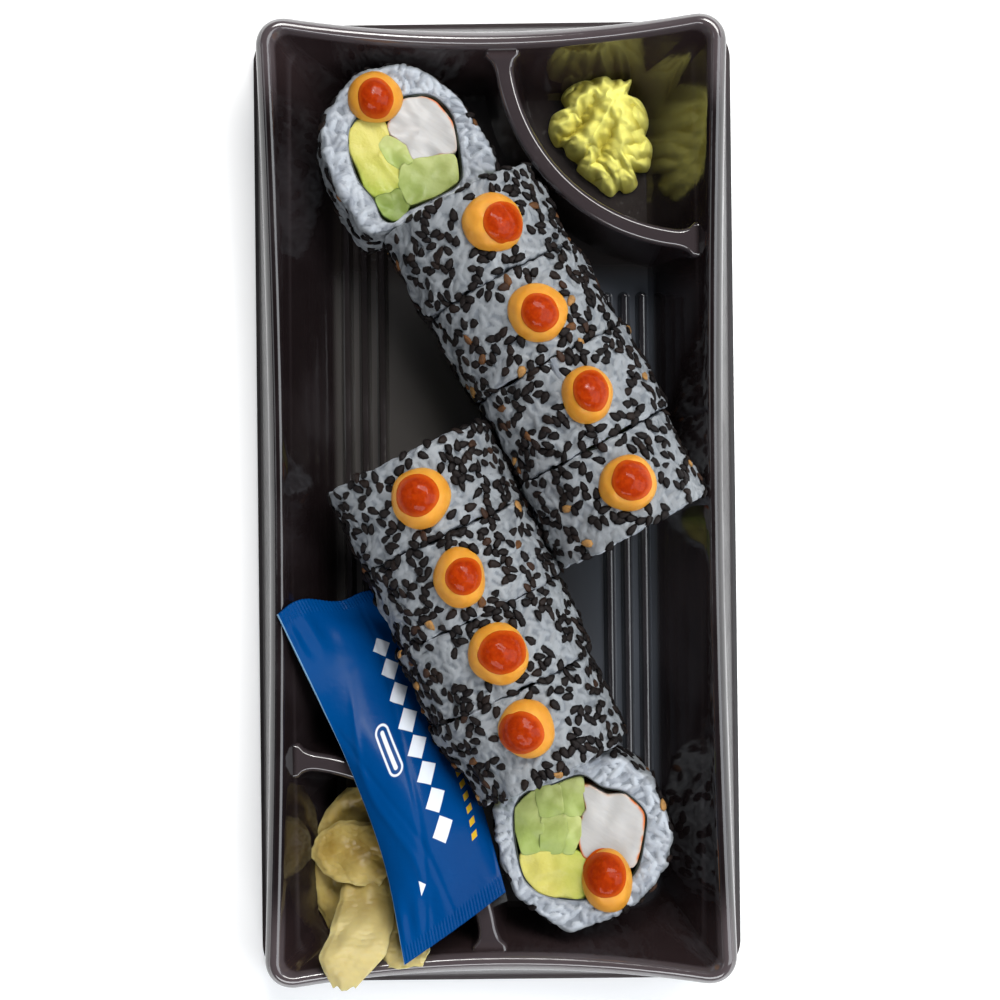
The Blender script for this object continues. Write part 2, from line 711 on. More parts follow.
# The shell is the upper surface less the same one moved in by the sheet. Its outside is a second
# material, which mirrors less.
def addTray():
    sheet = trayShape["sheet"]
    bars = [dividerBar(0, 0.0, turned) for turned in (False, True)]
    ribs = [ribBar(x, turned) for x in ribShape["places"] for turned in (False, True)]
    hollow = [trayBelow(-sheet, 2, -8.0), *(dividerBar(-sheet, -8.0, turned) for turned in (False, True))]
    mesh = combine("trayShell", trayBelow(0, 0, -6.0), bars + ribs, hollow)
    mesh.polygons.foreach_set("use_smooth", np.ones(len(mesh.polygons), dtype=bool))
    mesh.set_sharp_from_angle(angle=math.radians(38))
    piece = addPiece("trayShell", mesh, trayPlastic("trayPlastic", 0.5), "tray", "tray")
    mesh.materials.append(trayPlastic("traySkirt", 0.2))
    centres = np.zeros(3 * len(mesh.polygons))
    mesh.polygons.foreach_get("center", centres)
    outside = outsideRim(centres.reshape(-1, 3) / mm)
    mesh.polygons.foreach_set("material_index", outside.astype(np.int32))
    weigh = piece.modifiers.new("weigh", "WEIGHTED_NORMAL")
    weigh.keep_sharp = True
    print("tray:", len(mesh.polygons), "faces")


# The rolls. Lying pieces are halfHeight high above and below their middle; the others stand on end.
rollShape = {
    "halfHeight": 18.4,
    "middleHeight": 18.88,
    "flatBottom": 0.95,
    "standingHeight": 20.5,
    "aroundSteps": 330,
    "sideSteps": 54,
    "faceSteps": 16,
    "edge": 1.1,
    "lyingEdge": 0.75,
    "rimWidth": 5.5,
    "cutGap": 0.04,
    "wave": 0.3,
    "noriThickness": 0.3,
    "noriWave": 0.35,
    "fillingWave": 0.25,
}

# The two rows of lying pieces: the row's direction, then each piece's place along and across it.
rollRows = [
    {"degrees": -62.6, "first": 2, "pieces": [
        {"along": -54.3, "across": 24.2, "length": 21.2, "halfWidth": 19.0, "lip": 1.2, "turn": 70},
        {"along": -32.6, "across": 25.0, "length": 21.4, "halfWidth": 19.0, "lip": 1.6, "turn": 160},
        {"along": -11.0, "across": 26.0, "length": 21.0, "halfWidth": 19.2, "lip": 1.6, "turn": 200},
        {"along": 10.6, "across": 24.8, "length": 21.2, "halfWidth": 19.0, "lip": 1.2, "turn": 25},
    ]},
    {"degrees": -65.0, "first": 6, "pieces": [
        {"along": -8.0, "across": -14.2, "length": 19.8, "halfWidth": 20.3, "lip": 0.6, "turn": 110},
        {"along": 12.0, "across": -14.3, "length": 19.2, "halfWidth": 20.3, "lip": 0.6, "turn": 15},
        {"along": 31.1, "across": -15.2, "length": 18.4, "halfWidth": 20.5, "lip": 0.6, "turn": 240},
        {
            "along": 51.0, "across": -16.4, "length": 20.6, "halfWidth": 20.3, "lip": 0.6, "turn": 330,
            "taper": 3.0,
        },
    ]},
]

# The two end pieces, with the outline of each thing that shows on the cut face.
standingPieces = [
    {
        "number": 1, "centre": (-19.6, 79.9, 3.0), "leanTowards": 40, "lean": 7,
        "rice": [
            (-21.4, 5), (-21.8, -1), (-20, -6.6), (-16.6, -13.4), (-12.4, -19.6), (-7, -20.4), (6.6, -13.2),
            (17, -7.8), (19.2, -3.4), (14.8, 5.2), (9.6, 12.6), (1.4, 18.2), (-8.2, 18.8), (-17, 13.2),
        ],
        "nori": [
            (-14.6, 4.4), (-11.2, 8), (-5.4, 10.6), (-0.6, 12), (4.4, 11.6), (8.6, 7.4), (10.4, -0.8),
            (10.4, -8.4), (5, -12.2), (-1.4, -15.2), (-5, -18), (-7.8, -17), (-9.6, -12.8), (-13.2, -8),
            (-15, -1.4),
        ],
        "crabStick": [
            (-5.4, 5), (-3.2, 9.8), (1.6, 10.9), (4.8, 9.6), (8, 5.4), (8.9, -0.6), (4.9, -1.6), (0.2, -3),
            (-1.4, 0.6), (-5, 3),
        ],
        "avocado": [
            (-11.4, 6), (-8.4, 6.2), (-6.9, 2.8), (-8.4, 0.2), (-6.7, -3.9), (-4.2, -6.3), (-4, -9),
            (-5.2, -10.9), (-8.3, -11.2), (-10.5, -9.5), (-12, -5.1), (-13.9, -1.1), (-13.9, 3.3),
        ],
        "cucumber": [
            [(-6.4, 1.7), (-2.4, 0), (-0.8, -3.3), (-3.4, -4.6), (-5.9, -3.2), (-7.7, 0.1)],
            [(-2.6, -5.2), (-0.4, -3.9), (8.6, -2.5), (9.3, -7.8), (4.6, -11), (-1.2, -13.2), (-3.2, -8.9)],
            [
                (-8.6, -12.4), (-5.4, -11.6), (-4, -10.6), (-2, -13.9), (-3.2, -16.4), (-5, -16.9),
                (-7, -15.8),
            ],
        ],
        "cucumberTone": (0.05, 0.25, 0.8),
        "avocadoDegrees": 262,
    },
    {
        "number": 10, "centre": (20.9, -78.8, 2.2), "leanTowards": 160, "lean": 2,
        "rice": [
            (-19.8, 10), (-21.6, 4), (-20.8, -3), (-17.4, -10.6), (-12, -16.8), (-4.8, -20.6), (3.4, -18.6),
            (11, -14), (17, -7.4), (19.4, 0.6), (17.4, 8.4), (12.6, 16.6), (4.2, 20.6), (-7.6, 16),
        ],
        "nori": [
            (-15.8, 10), (-12.6, 12.2), (-8.4, 13.2), (-1.6, 15.4), (3.4, 12.6), (8.8, 11.2), (13.2, 6.6),
            (13, 1.2), (11.2, -6.2), (6.4, -11.2), (-0.8, -13.2), (-6.6, -13), (-11.4, -11.6), (-15, -8),
            (-16.8, -0.6), (-17.2, 6),
        ],
        "crabStick": [
            (-0.4, 12.4), (4.2, 9.9), (8.4, 10.1), (12.2, 6.3), (11.9, 1.8), (10.2, -5), (5.6, -5.6),
            (2, -4.2), (-0.6, -3), (-1.4, 0), (-0.6, 5.7), (0.4, 7.5),
        ],
        "avocado": [
            (-14.6, -3.2), (-10.4, -3.2), (-5.6, -3), (-2, -3.6), (0.2, -7.9), (-1.4, -12), (-6.6, -11.9),
            (-10.9, -10.7), (-13.9, -7.6),
        ],
        "cucumber": [
            [(-16, 7.6), (-12.2, 11.2), (-10.8, 3.7), (-11.6, -1.6), (-14.6, -2.4), (-16, 2.6)],
            [(-11.4, 11.8), (-6.9, 12.7), (-6.2, 7.2), (-10.4, 6.2)],
            [(-6.2, 12.8), (-1.6, 14.2), (-1.4, 6.8), (-5.2, 6.6)],
            [(-10, 5.4), (-5.8, 6), (-5.3, 2.2), (-6.6, -2), (-10.4, -2)],
            [(-5, 5.9), (-2.3, 5.2), (-2.3, 1.6), (-3.9, -2.2), (-5.6, -2), (-4.7, 2.2)],
        ],
        "cucumberTone": (0.3, 0.2, 0.15, 0.35, 0.1),
        "avocadoDegrees": 10,
    },
]


# All ten pieces with their axes (rows: along the axis, across, up) and origin, in order.
def placeRolls():
    pieces = []
    for row in rollRows:
        turn = math.radians(row["degrees"])
        axis = np.array([math.cos(turn), math.sin(turn), 0.0])
        across = np.array([-math.sin(turn), math.cos(turn), 0.0])
        for k, piece in enumerate(row["pieces"]):
            origin = piece["along"] * axis + piece["across"] * across + (0, 0, rollShape["middleHeight"])
            pieces.append({
                **piece, "number": row["first"] + k, "lying": True, "origin": origin,
                "axes": np.array([axis, across, (0, 0, 1)]), "held": standingPieces[(row["first"] + k) % 2],
                "start": -piece["length"] / 2, "end": piece["length"] / 2,
            })
    for piece in standingPieces:
        towards = math.radians(piece["leanTowards"])
        hinge = Vector((-math.sin(towards), math.cos(towards), 0))
        lean = np.array(Matrix.Rotation(math.radians(piece["lean"]), 3, hinge))
        pieces.append({
            **piece, "lying": False, "origin": np.array(piece["centre"]),
            "axes": np.array([lean[:, 2], lean[:, 0], lean[:, 1]]), "held": piece, "turn": 0,
            "start": 0.0, "end": rollShape["standingHeight"],
        })
    return sorted(pieces, key=lambda piece: piece["number"])


# From a piece's own coordinates (along, across, up) to the tray's.
def toTray(piece, local):
    return piece["origin"] + local @ piece["axes"]


# The wave of pressed rice: two products of sines round and along the piece.
def riceWave(angle, along, phase):
    wide = 0.6 * np.sin(3 * angle + phase) * np.cos(2 * along + phase)
    return wide + 0.4 * np.sin(7 * angle - 3 * along + 2 * phase)


# Outer outline of a piece at an angle round it and a place along it. Lying: an ellipse, cut flat below,
# whose low flanks are pressed out; a taper widens it on one side. Standing: its own outline.
def outerOutline(piece, angle, along):
    if piece["lying"]:
        wave = rollShape["wave"] * riceWave(angle, along / 5, piece["number"] * 1.7)
        across = (piece["halfWidth"] + wave) * np.cos(angle)
        rise = (rollShape["halfHeight"] + wave) * np.maximum(np.sin(angle), -rollShape["flatBottom"])
        taper = piece.get("taper", 0) * smoothStep(-8, 4, along)
        across = across + taper * smoothStep(-0.3, -0.95, np.cos(angle))
        low = np.exp(-((rise / rollShape["halfHeight"] + 0.72) / 0.3) ** 2)
        return np.stack([across + np.sign(across) * low * piece["lip"], rise], -1)
    radius = outlineRadius(smoothOutline(piece["rice"], 240), np.zeros(2), angle)
    radius = radius + rollShape["wave"] * riceWave(angle, along / 9, piece["number"]) - 0.25
    return np.stack([radius * np.cos(angle), radius * np.sin(angle)], -1)


def turnedOutline(points, degrees):
    cosine, sine = math.cos(math.radians(degrees)), math.sin(math.radians(degrees))
    return np.asarray(points) @ np.array([[cosine, sine], [-sine, cosine]])


# A smooth closed outline with many points, evenly spaced in its own parameter.
def smoothOutline(points, count):
    return smoothCurve(points, np.arange(count) / count, closed=True)


# An outline between its straight-sided and its smooth form: crisp where it was cut with a knife.
def crispOutline(points, count, smooth):
    corners = np.asarray(points, dtype=float)
    place = np.arange(count) / count * len(corners)
    k = np.floor(place).astype(int)
    t = (place - k)[:, None]
    straight = corners[k] * (1 - t) + np.roll(corners, -1, 0)[k] * t
    return straight * (1 - smooth) + smoothOutline(points, count) * smooth


# A closed outline moved outwards, square to itself.
def grownOutline(outline, grow):
    along = unit(np.roll(outline, -1, 0) - np.roll(outline, 1, 0))
    ahead = np.roll(outline, -1, 0)
    turn = np.sign(np.sum(outline[:, 0] * ahead[:, 1] - outline[:, 1] * ahead[:, 0]))
    return outline + turn * grow * np.stack([along[:, 1], -along[:, 0]], -1)


# Distance of a closed outline from its middle, in every one of the given directions.
def outlineRadius(outline, middle, angle):
    offset = outline - middle
    own = np.unwrap(np.arctan2(offset[:, 1], offset[:, 0]))
    if own[-1] < own[0]:
        own, offset = own[::-1], offset[::-1]
    reach = np.hypot(offset[:, 0], offset[:, 1])
    order = np.argsort(np.mod(own, 2 * np.pi))
    return np.interp(np.mod(angle, 2 * np.pi), np.mod(own, 2 * np.pi)[order], reach[order], period=2 * np.pi)


# Room for the food: how far it stays inside the rim and the foot, and the lowest it may lie on the
# floor and on the ribs.
foodRoom = {
    "insideRim": 3.4,
    "insideFoot": 0.5,
    "wallFrom": 2.4,
    "wallHeight": 20.1,
    "ribbed": (24.5, 37.5),
    "overRibs": 3.0,
    "overFloor": 1.1,
    "softness": 0.25,
}


# The food stays inside the tray's walls and above its floor and ribs.
def keepInTray(points):
    room = foodRoom
    rim = np.array(trayShape["rimHalf"]) - room["insideRim"]
    foot = np.array(trayShape["footHalf"]) - room["insideFoot"]
    height = np.clip((points[:, 2] - room["wallFrom"]) / room["wallHeight"], 0, 1.4)
    limit = foot + (rim - foot) * height[:, None]
    limit[:, 0] *= 1 + trayShape["cornerFlare"] * (points[:, 1] / rim[1]) ** 2 * height
    wide = np.abs(points[:, 0])
    ribbed = (wide > room["ribbed"][0]) & (wide < room["ribbed"][1])
    kept = points.copy()
    kept[:, :2] = np.sign(points[:, :2]) * softMin(np.abs(points[:, :2]), limit, room["softness"])
    kept[:, 2] = np.maximum(kept[:, 2], np.where(ribbed, room["overRibs"], room["overFloor"]))
    return kept


# Grains of rice: their sizes, how far they stand out and how closely they lie.
riceLook = {
    "grainHalfLength": (1.8, 2.6),
    "grainHalfWidth": (0.72, 0.95),
    "grainRise": 0.5,
    "faceRise": 0.95,
    "grainSpacing": 1.3,
    "grains": 1050,
    "pressed": 0.55,
    "swell": 0.22,
    "swellSize": 7.0,
    "sunk": 0.25,
    "sunkOnCut": 0.35,
}


# Relief of rice: each grain is half an ellipsoid lying on the surface at a random turn, and at every
# point the highest grain counts. Also gives a tone that is one number for each grain.
def riceRelief(points, normals, rise, spots, random):
    height = np.zeros(len(points))
    tone = np.full(len(points), 0.3)
    for spot in spots:
        normal = normals[spot]
        heading = random.normal(size=3)
        heading = unit(heading - heading @ normal * normal)
        sideways = np.cross(normal, heading)
        halfLength = random.uniform(*riceLook["grainHalfLength"])
        halfWidth = random.uniform(*riceLook["grainHalfWidth"])
        sunk = random.uniform(-riceLook["pressed"], 0.0)
        offset = points - points[spot]
        near = np.nonzero(np.einsum("ij,ij->i", offset, offset) < (halfLength + 0.3) ** 2)[0]
        offset = offset[near]
        inside = 1 - (offset @ heading / halfLength) ** 2 - (offset @ sideways / halfWidth) ** 2
        bump = (sunk + np.sqrt(np.clip(inside, 0, 1))) * rise[near]
        higher = (inside > 0) & (bump > height[near])
        height[near[higher]] = bump[higher]
        tone[near[higher]] = random.uniform()
    return height, tone


# One piece's rice as a ring that closes both ways: out along the side, over each cut face to the hole
# and back inside. Section points lie between the nori's outline (part 0) and the outer outline (part 1).
def riceRing(piece):
    shape = rollShape
    lying = piece["lying"]
    random = np.random.default_rng(700 + piece["number"])
    edge = shape["lyingEdge"] if lying else shape["edge"]
    start, end = piece["start"] + shape["cutGap"] * lying, piece["end"] - shape["cutGap"] * lying
    rounded = edge / shape["rimWidth"]
    quarter = np.linspace(0, np.pi / 2, 5)[1:]
    side = np.linspace(start + edge, end - edge, shape["sideSteps"])
    face = np.linspace(1 - rounded, 0, shape["faceSteps"])[1:]
    inner = np.linspace(end, start, 6)[1:-1]
    endAlong = np.concatenate([end - edge + edge * np.sin(quarter), np.full(len(face), end)])
    endPart = np.concatenate([1 - rounded * (1 - np.cos(quarter)), face])
    along = np.concatenate([side, endAlong, inner, start + end - endAlong[::-1]])[None, :]
    part = np.concatenate([np.ones(len(side)), endPart, np.zeros(len(inner)), endPart[::-1]])[None, :]
    angle = np.linspace(0, 2 * np.pi, shape["aroundSteps"], endpoint=False)[:, None]
    outer = outerOutline(piece, angle, along)
    nori = turnedOutline(smoothOutline(piece["held"]["nori"], 200), piece["turn"])
    reach = (outlineRadius(nori, np.zeros(2), angle) + 0.05) * (0.97 if lying else 1)
    hole = np.stack([reach * np.cos(angle), reach * np.sin(angle)], -1)
    section = hole + part[..., None] * (outer - hole)
    local = np.concatenate([np.broadcast_to(along[..., None], section.shape[:2] + (1,)), section], -1)
    grid = toTray(piece, local)
    normals = gridNormals(grid, closed=True).reshape(-1, 3)
    points = grid.reshape(-1, 3)
    part = np.broadcast_to(part, grid.shape[:2]).ravel()
    onFace = (part < 1 - 0.9 * rounded) & (part > 0)
    onSide = part > 1 - 0.6 * rounded
    rise = np.where(onFace & (not lying), riceLook["faceRise"], riceLook["grainRise"])
    rise = rise * smoothStep(0.0, 0.12, part)
    ready = np.where(part <= 0.001, 0.0, 1.0)
    spots = pickSpots(points, ready, riceLook["grains"], riceLook["grainSpacing"], random)
    height, tone = riceRelief(points, normals, rise, spots, random)
    swell = riceLook["swell"] * softField(points, riceLook["swellSize"], 40 + piece["number"])
    sunk = np.where(onFace & lying, riceLook["sunkOnCut"], riceLook["sunk"])
    moved = keepInTray(points + normals * (height + (swell - sunk) * (rise > 0))[:, None])
    depth = np.clip(height / riceLook["grainRise"], 0, 1)
    ring = {
        "points": moved, "faces": [wrappedFaces(*grid.shape[:2])],
        "fields": {"grain": tone, "depth": depth, "side": 1.0 * onSide},
    }
    return ring, {"points": moved, "normals": normals, "outer": onSide, "face": onFace}


# A closed prism over an outline with a rounded upper edge and a slightly uneven top. The field 'edge'
# goes from 0 in the middle of the cut to 1 at its border; 'tint' goes across the cut in one direction.
def filledPrism(piece, outline, bottom, top, ease, tintDegrees, seed):
    middle = outline.mean(0)
    offset = outline - middle
    reach = np.median(np.hypot(offset[:, 0], offset[:, 1]))
    quarter = np.linspace(0, np.pi / 2, 5)
    scales = np.concatenate([[0.5, 1, 1], 1 - ease / reach * (1 - np.cos(quarter)), [0.8, 0.6, 0.4, 0.2]])
    sides = [bottom, bottom, (bottom + top) / 2]
    heights = np.concatenate([sides, top - ease + ease * np.sin(quarter), [top] * 4])
    scales[-4:] *= 1 - ease / reach
    flat = middle + offset[None] * scales[:, None, None]
    onTop = smoothStep(top - 2 * ease, top - 0.2 * ease, heights)[:, None]
    shaped = np.concatenate([flat, np.zeros(flat.shape[:2] + (1,))], -1)
    lift = rollShape["fillingWave"] * softField(shaped, 5.0, seed) * onTop
    local = np.concatenate([(heights[:, None] + lift)[..., None], flat], -1)
    tintTurn = math.radians(tintDegrees)
    along = flat @ np.array([math.cos(tintTurn), math.sin(tintTurn)])
    tint = (along - along.min()) / (along.max() - along.min())
    border = np.broadcast_to(np.clip(scales, 0, 1)[:, None], tint.shape).copy()
    border[:3] = 1
    return ringSurface(toTray(piece, local), {"edge": border, "tint": tint})


# The sheet of nori: a closed band between its outline and the same one moved in. Each place on its
# section has a side (0 outside, 1 inside) and a height; its upper border is wavy.
def noriBand(piece, outline, bottom, top):
    angle = np.linspace(0, 2 * np.pi, 180, endpoint=False)[:, None]
    middle = (bottom + top) / 2
    inward = np.repeat([0, 1], 3) * rollShape["noriThickness"]
    along = np.array([bottom, middle, top, top, middle, bottom]) + 0 * angle
    along = along + rollShape["noriWave"] * np.sin(5 * angle + piece["number"]) * (along > middle + 1)
    radius = outlineRadius(outline, np.zeros(2), angle) - inward
    grid = toTray(piece, np.stack([along, radius * np.cos(angle), radius * np.sin(angle)], -1))
    return {"points": keepInTray(grid.reshape(-1, 3)), "faces": [wrappedFaces(*grid.shape[:2])]}


# Rice: each grain has its own grey, the gaps between grains and the seeded sides are darker.
def riceMaterial():
    material, tree, shader = newMaterial(
        "pressedRice", Subsurface_Weight=0.18, Subsurface_Scale=0.0012, Subsurface_Radius=(1.0, 0.95, 0.9),
        IOR=1.4, Specular_IOR_Level=0.35,
    )
    cloudy = useGroup(tree, "blotches", Scale=420, Low=0.35, High=0.7, Detail=2)
    grain = remap(tree, field(tree, "grain"), 0, 1)
    hollow = remap(tree, field(tree, "depth"), 0.55, 0.0)
    colour = mixColour(tree, grain, (0.21, 0.23, 0.262), (0.365, 0.395, 0.435))
    colour = mixColour(tree, multiply(tree, cloudy, 0.35), colour, (0.41, 0.43, 0.455))
    colour = mixColour(tree, multiply(tree, field(tree, "side"), 0.6), colour, (0.138, 0.147, 0.148))
    colour = mixColour(tree, multiply(tree, hollow, 0.6), colour, (0.10, 0.115, 0.135))
    rough = calculate(tree, "MULTIPLY_ADD", cloudy, 0.2, 0.32)
    relief = useGroup(tree, "relief", Coarse=600, Fine=2600, Share=0.35)
    finishShader(tree, shader, colour, rough, relief, 0.00035, 0.6)
    return material


def noriMaterial():
    material, tree, shader = newMaterial("noriSheet")
    blotches = useGroup(tree, "blotches", Scale=700, Low=0.35, High=0.65, Detail=3)
    colour = mixColour(tree, blotches, (0.006, 0.010, 0.006), (0.018, 0.026, 0.014))
    rough = calculate(tree, "MULTIPLY_ADD", blotches, 0.25, 0.35)
    relief = useGroup(tree, "relief", Coarse=900, Fine=3000, Share=0.5)
    finishShader(tree, shader, colour, rough, relief, 0.0003, 0.8)
    return material


# Crab stick: white fibres with an orange to red skin in patches.
def crabMaterial():
    material, tree, shader = newMaterial(
        "crabStick", Subsurface_Weight=0.2, Subsurface_Scale=0.0015, Subsurface_Radius=(1.0, 0.7, 0.5),
        Specular_IOR_Level=0.2,
    )
    fibres = useGroup(tree, "fibres", Scale=900, Stretch=0.2, Turn=0.6)
    patchy = useGroup(tree, "blotches", Scale=190, Low=0.42, High=0.58, Detail=2)
    skin = mixColour(tree, patchy, (0.50, 0.26, 0.09), (0.50, 0.13, 0.025))
    border = remap(tree, field(tree, "edge"), 0.9, 0.985)
    shown = multiply(tree, border, calculate(tree, "MULTIPLY_ADD", patchy, 0.8, 0.2))
    colour = mixColour(tree, fibres, (0.36, 0.352, 0.345), (0.43, 0.42, 0.408))
    colour = mixColour(tree, shown, colour, skin)
    rough = calculate(tree, "MULTIPLY_ADD", patchy, 0.15, 0.32)
    finishShader(tree, shader, colour, rough, fibres, 0.0002, 0.5)
    return material


# Avocado: yellow inside, green towards one side and the border.
def avocadoMaterial():
    material, tree, shader = newMaterial(
        "avocado", Subsurface_Weight=0.12, Subsurface_Scale=0.001, Subsurface_Radius=(1.0, 0.9, 0.3),
        Specular_IOR_Level=0.2,
    )
    mottled = useGroup(tree, "blotches", Scale=330, Low=0.35, High=0.7, Detail=4)
    border = remap(tree, field(tree, "edge"), 0.7, 1.0)
    ripe = calculate(tree, "MULTIPLY_ADD", border, 0.35, 0.65)
    green = multiply(tree, ripe, remap(tree, field(tree, "tint"), 0.3, 1.0))
    colour = mixColour(tree, green, (0.47, 0.425, 0.105), (0.26, 0.345, 0.045))
    colour = mixColour(tree, multiply(tree, mottled, 0.35), colour, (0.50, 0.48, 0.14))
    rough = calculate(tree, "MULTIPLY_ADD", mottled, 0.2, 0.3)
    relief = useGroup(tree, "relief", Coarse=350, Fine=1600, Share=0.4)
    finishShader(tree, shader, colour, rough, relief, 0.0005, 0.6)
    return material


# Cucumber: each stick has a tone from pale flesh to deep green, and the deep ones a dark skin.
def cucumberMaterial():
    material, tree, shader = newMaterial(
        "cucumber", Subsurface_Weight=0.15, Subsurface_Scale=0.0012, Subsurface_Radius=(0.8, 1.0, 0.5),
        Specular_IOR_Level=0.18,
    )
    tone = field(tree, "tone")
    skin = multiply(tree, remap(tree, field(tree, "edge"), 0.9, 1.0), remap(tree, tone, 0.4, 1.0))
    seams = useGroup(tree, "blotches", Scale=300, Low=0.3, High=0.7, Detail=2)
    pale = mixColour(tree, seams, (0.34, 0.375, 0.125), (0.43, 0.46, 0.185))
    deep = mixColour(tree, seams, (0.115, 0.165, 0.03), (0.165, 0.22, 0.05))
    tint = remap(tree, field(tree, "tint"), 0.1, 0.9, 0, 0.45)
    flesh = mixColour(tree, tint, mixColour(tree, tone, pale, deep), (0.20, 0.30, 0.06))
    colour = mixColour(tree, skin, flesh, (0.05, 0.10, 0.02))
    rough = calculate(tree, "MULTIPLY_ADD", seams, 0.15, 0.3)
    relief = useGroup(tree, "relief", Coarse=500, Fine=1800, Share=0.3)
    finishShader(tree, shader, colour, rough, relief, 0.0003, 0.5)
    return material


# Each filling's slot, its material, how round its upper edge is, the side that its tint turns to, how far
# it lies below the cut, how far it grows past its outline and how smooth that is.
fillingLook = {
    "crabStick": {
        "slot": "crab_stick", "make": crabMaterial,
        "ease": 0.5, "tintDegrees": 40, "below": 0.0, "grow": 0.85, "smooth": 0.4,
    },
    "avocado": {
        "slot": "avocado", "make": avocadoMaterial,
        "ease": 0.7, "tintDegrees": None, "below": 0.3, "grow": 1.2, "smooth": 0.8,
    },
    "cucumber": {
        "slot": "cucumber", "make": cucumberMaterial,
        "ease": 0.35, "tintDegrees": 250, "below": 0.15, "grow": 0.8, "smooth": 0.25,
    },
}


# One kind of filling in a piece as one surface. Every second stick of cucumber stands a little higher.
def fillingSurface(piece, kind, bottom, top, shrink):
    look = fillingLook[kind]
    held = piece["held"]
    outlines = held[kind] if kind == "cucumber" else [held[kind]]
    tintDegrees = (look["tintDegrees"] or held["avocadoDegrees"]) + piece["turn"]
    parts = []
    for k, corners in enumerate(outlines):
        outline = grownOutline(crispOutline(corners, 90, look["smooth"]), look["grow"])
        outline = turnedOutline(outline, piece["turn"]) * shrink
        upper = top - look["below"] + 0.3 * (k % 2)
        seed = 10 * piece["number"] + k
        part = filledPrism(piece, outline, bottom, upper, look["ease"], tintDegrees, seed)
        if kind == "cucumber":
            part["fields"]["tone"] = np.full(len(part["points"]), held["cucumberTone"][k])
        parts.append(part)
    joined = joinParts(parts)
    joined["points"] = keepInTray(joined["points"])
    return joined, len(parts)


def addRolls(pieces):
    rice, nori = riceMaterial(), noriMaterial()
    fillings = {kind: look["make"]() for kind, look in fillingLook.items()}
    surfaces = {}
    for piece in pieces:
        number, lying = piece["number"], piece["lying"]
        tag = f"{number:02d}"
        ring, surfaces[number] = riceRing(piece)
        addSurface(f"rice_{tag}", ring, rice, "rice", f"roll_{tag}")
        bottom = piece["start"] + (0.3 if lying else 0.4)
        top = piece["end"] - 0.2
        shrink = 0.95 if lying else 1.0
        outline = turnedOutline(smoothOutline(piece["held"]["nori"], 200), piece["turn"]) * shrink
        band = noriBand(piece, outline, bottom, top - 0.35)
        addSurface(f"noriBand_{tag}", band, nori, "nori", *([] if lying else [f"nori_{tag}"]))
        for kind, material in fillings.items():
            slot = fillingLook[kind]["slot"]
            surface, count = fillingSurface(piece, kind, bottom, top, shrink)
            sticks = [f"_{k + 1}" for k in range(count)] if kind == "cucumber" else [""]
            nodes = [] if lying else [f"{slot}_{tag}{stick}" for stick in sticks]
            addSurface(f"{kind}Core_{tag}", surface, material, slot, *nodes)
    print("rolls:", len(pieces), "pieces")
    return surfaces


# Mayonnaise with chili sauce on it, one dollop for each piece in order: the centre and the size of the
# mayonnaise, then those of the chili sauce.
dollops = [
    ((-26.7, 92.6), (12.33, 12.33), (-26.3, 91.7), (8.37, 9.03)),
    ((0.1, 61.5), (14.10, 13.22), (2.4, 61.1), (9.03, 9.47)),
    ((9.8, 41.4), (13.22, 13.66), (10.2, 41.0), (8.37, 8.81)),
    ((20.6, 23.0), (11.89, 12.78), (21.3, 23.7), (8.15, 9.47)),
    ((29.4, 3.3), (13.44, 12.33), (30.0, 3.9), (9.25, 9.03)),
    ((-16.6, 0.5), (13.66, 13.44), (-17.2, 1.1), (9.47, 9.69)),
    ((-8.2, -17.2), (11.89, 13.44), (-7.2, -16.8), (8.15, 8.37)),
    ((0.2, -34.2), (13.66, 13.88), (1.1, -33.6), (10.57, 9.91)),
    ((6.3, -50.8), (12.78, 13.00), (5.0, -51.3), (9.91, 9.91)),
    ((24.5, -87.4), (11.89, 14.32), (23.8, -85.3), (9.47, 10.79)),
]


# Sesame seeds: their sizes, how many lie on each piece and how far apart, and the room round a dollop.
seedShape = {
    "length": (2.9, 3.5),
    "width": (1.9, 2.3),
    "thickness": 0.95,
    "around": 8,
    "perLying": 262,
    "perStanding": 150,
    "spacing": 1.5,
    "patchSize": 7.0,
    "sink": 0.37,
    "dollopClear": 7.0,
    "lowest": 2.0,
    "onCutFace": 0.004,
    "tilt": 0.16,
}


# A drop lying flat: half width falls as the root of 1 - x squared, less towards the pointed end. The
# field 'face' is 1 on the flat of the seed and 0 at its rim.
def seedTemplate():
    around = seedShape["around"]
    angle = np.linspace(0, 2 * np.pi, around, endpoint=False)
    x = np.cos(angle)
    y = np.sin(angle) * (1 - 0.38 * x) * 0.92
    levels = np.array([[0.55, -0.42], [1.0, 0.0], [0.62, 0.42]])
    rings = np.stack([
        levels[:, :1] * x * 0.5, levels[:, :1] * y * 0.5, np.broadcast_to(levels[:, 1:], (3, around)),
    ], -1)
    surface = ringSurface(rings)
    surface["points"][-2, 2] = -0.5
    surface["points"][-1, 2] = 0.5
    face = np.concatenate([np.repeat([0.7, 0.0, 0.7], around), [1, 1]])
    return surface["points"], surface["faces"], face


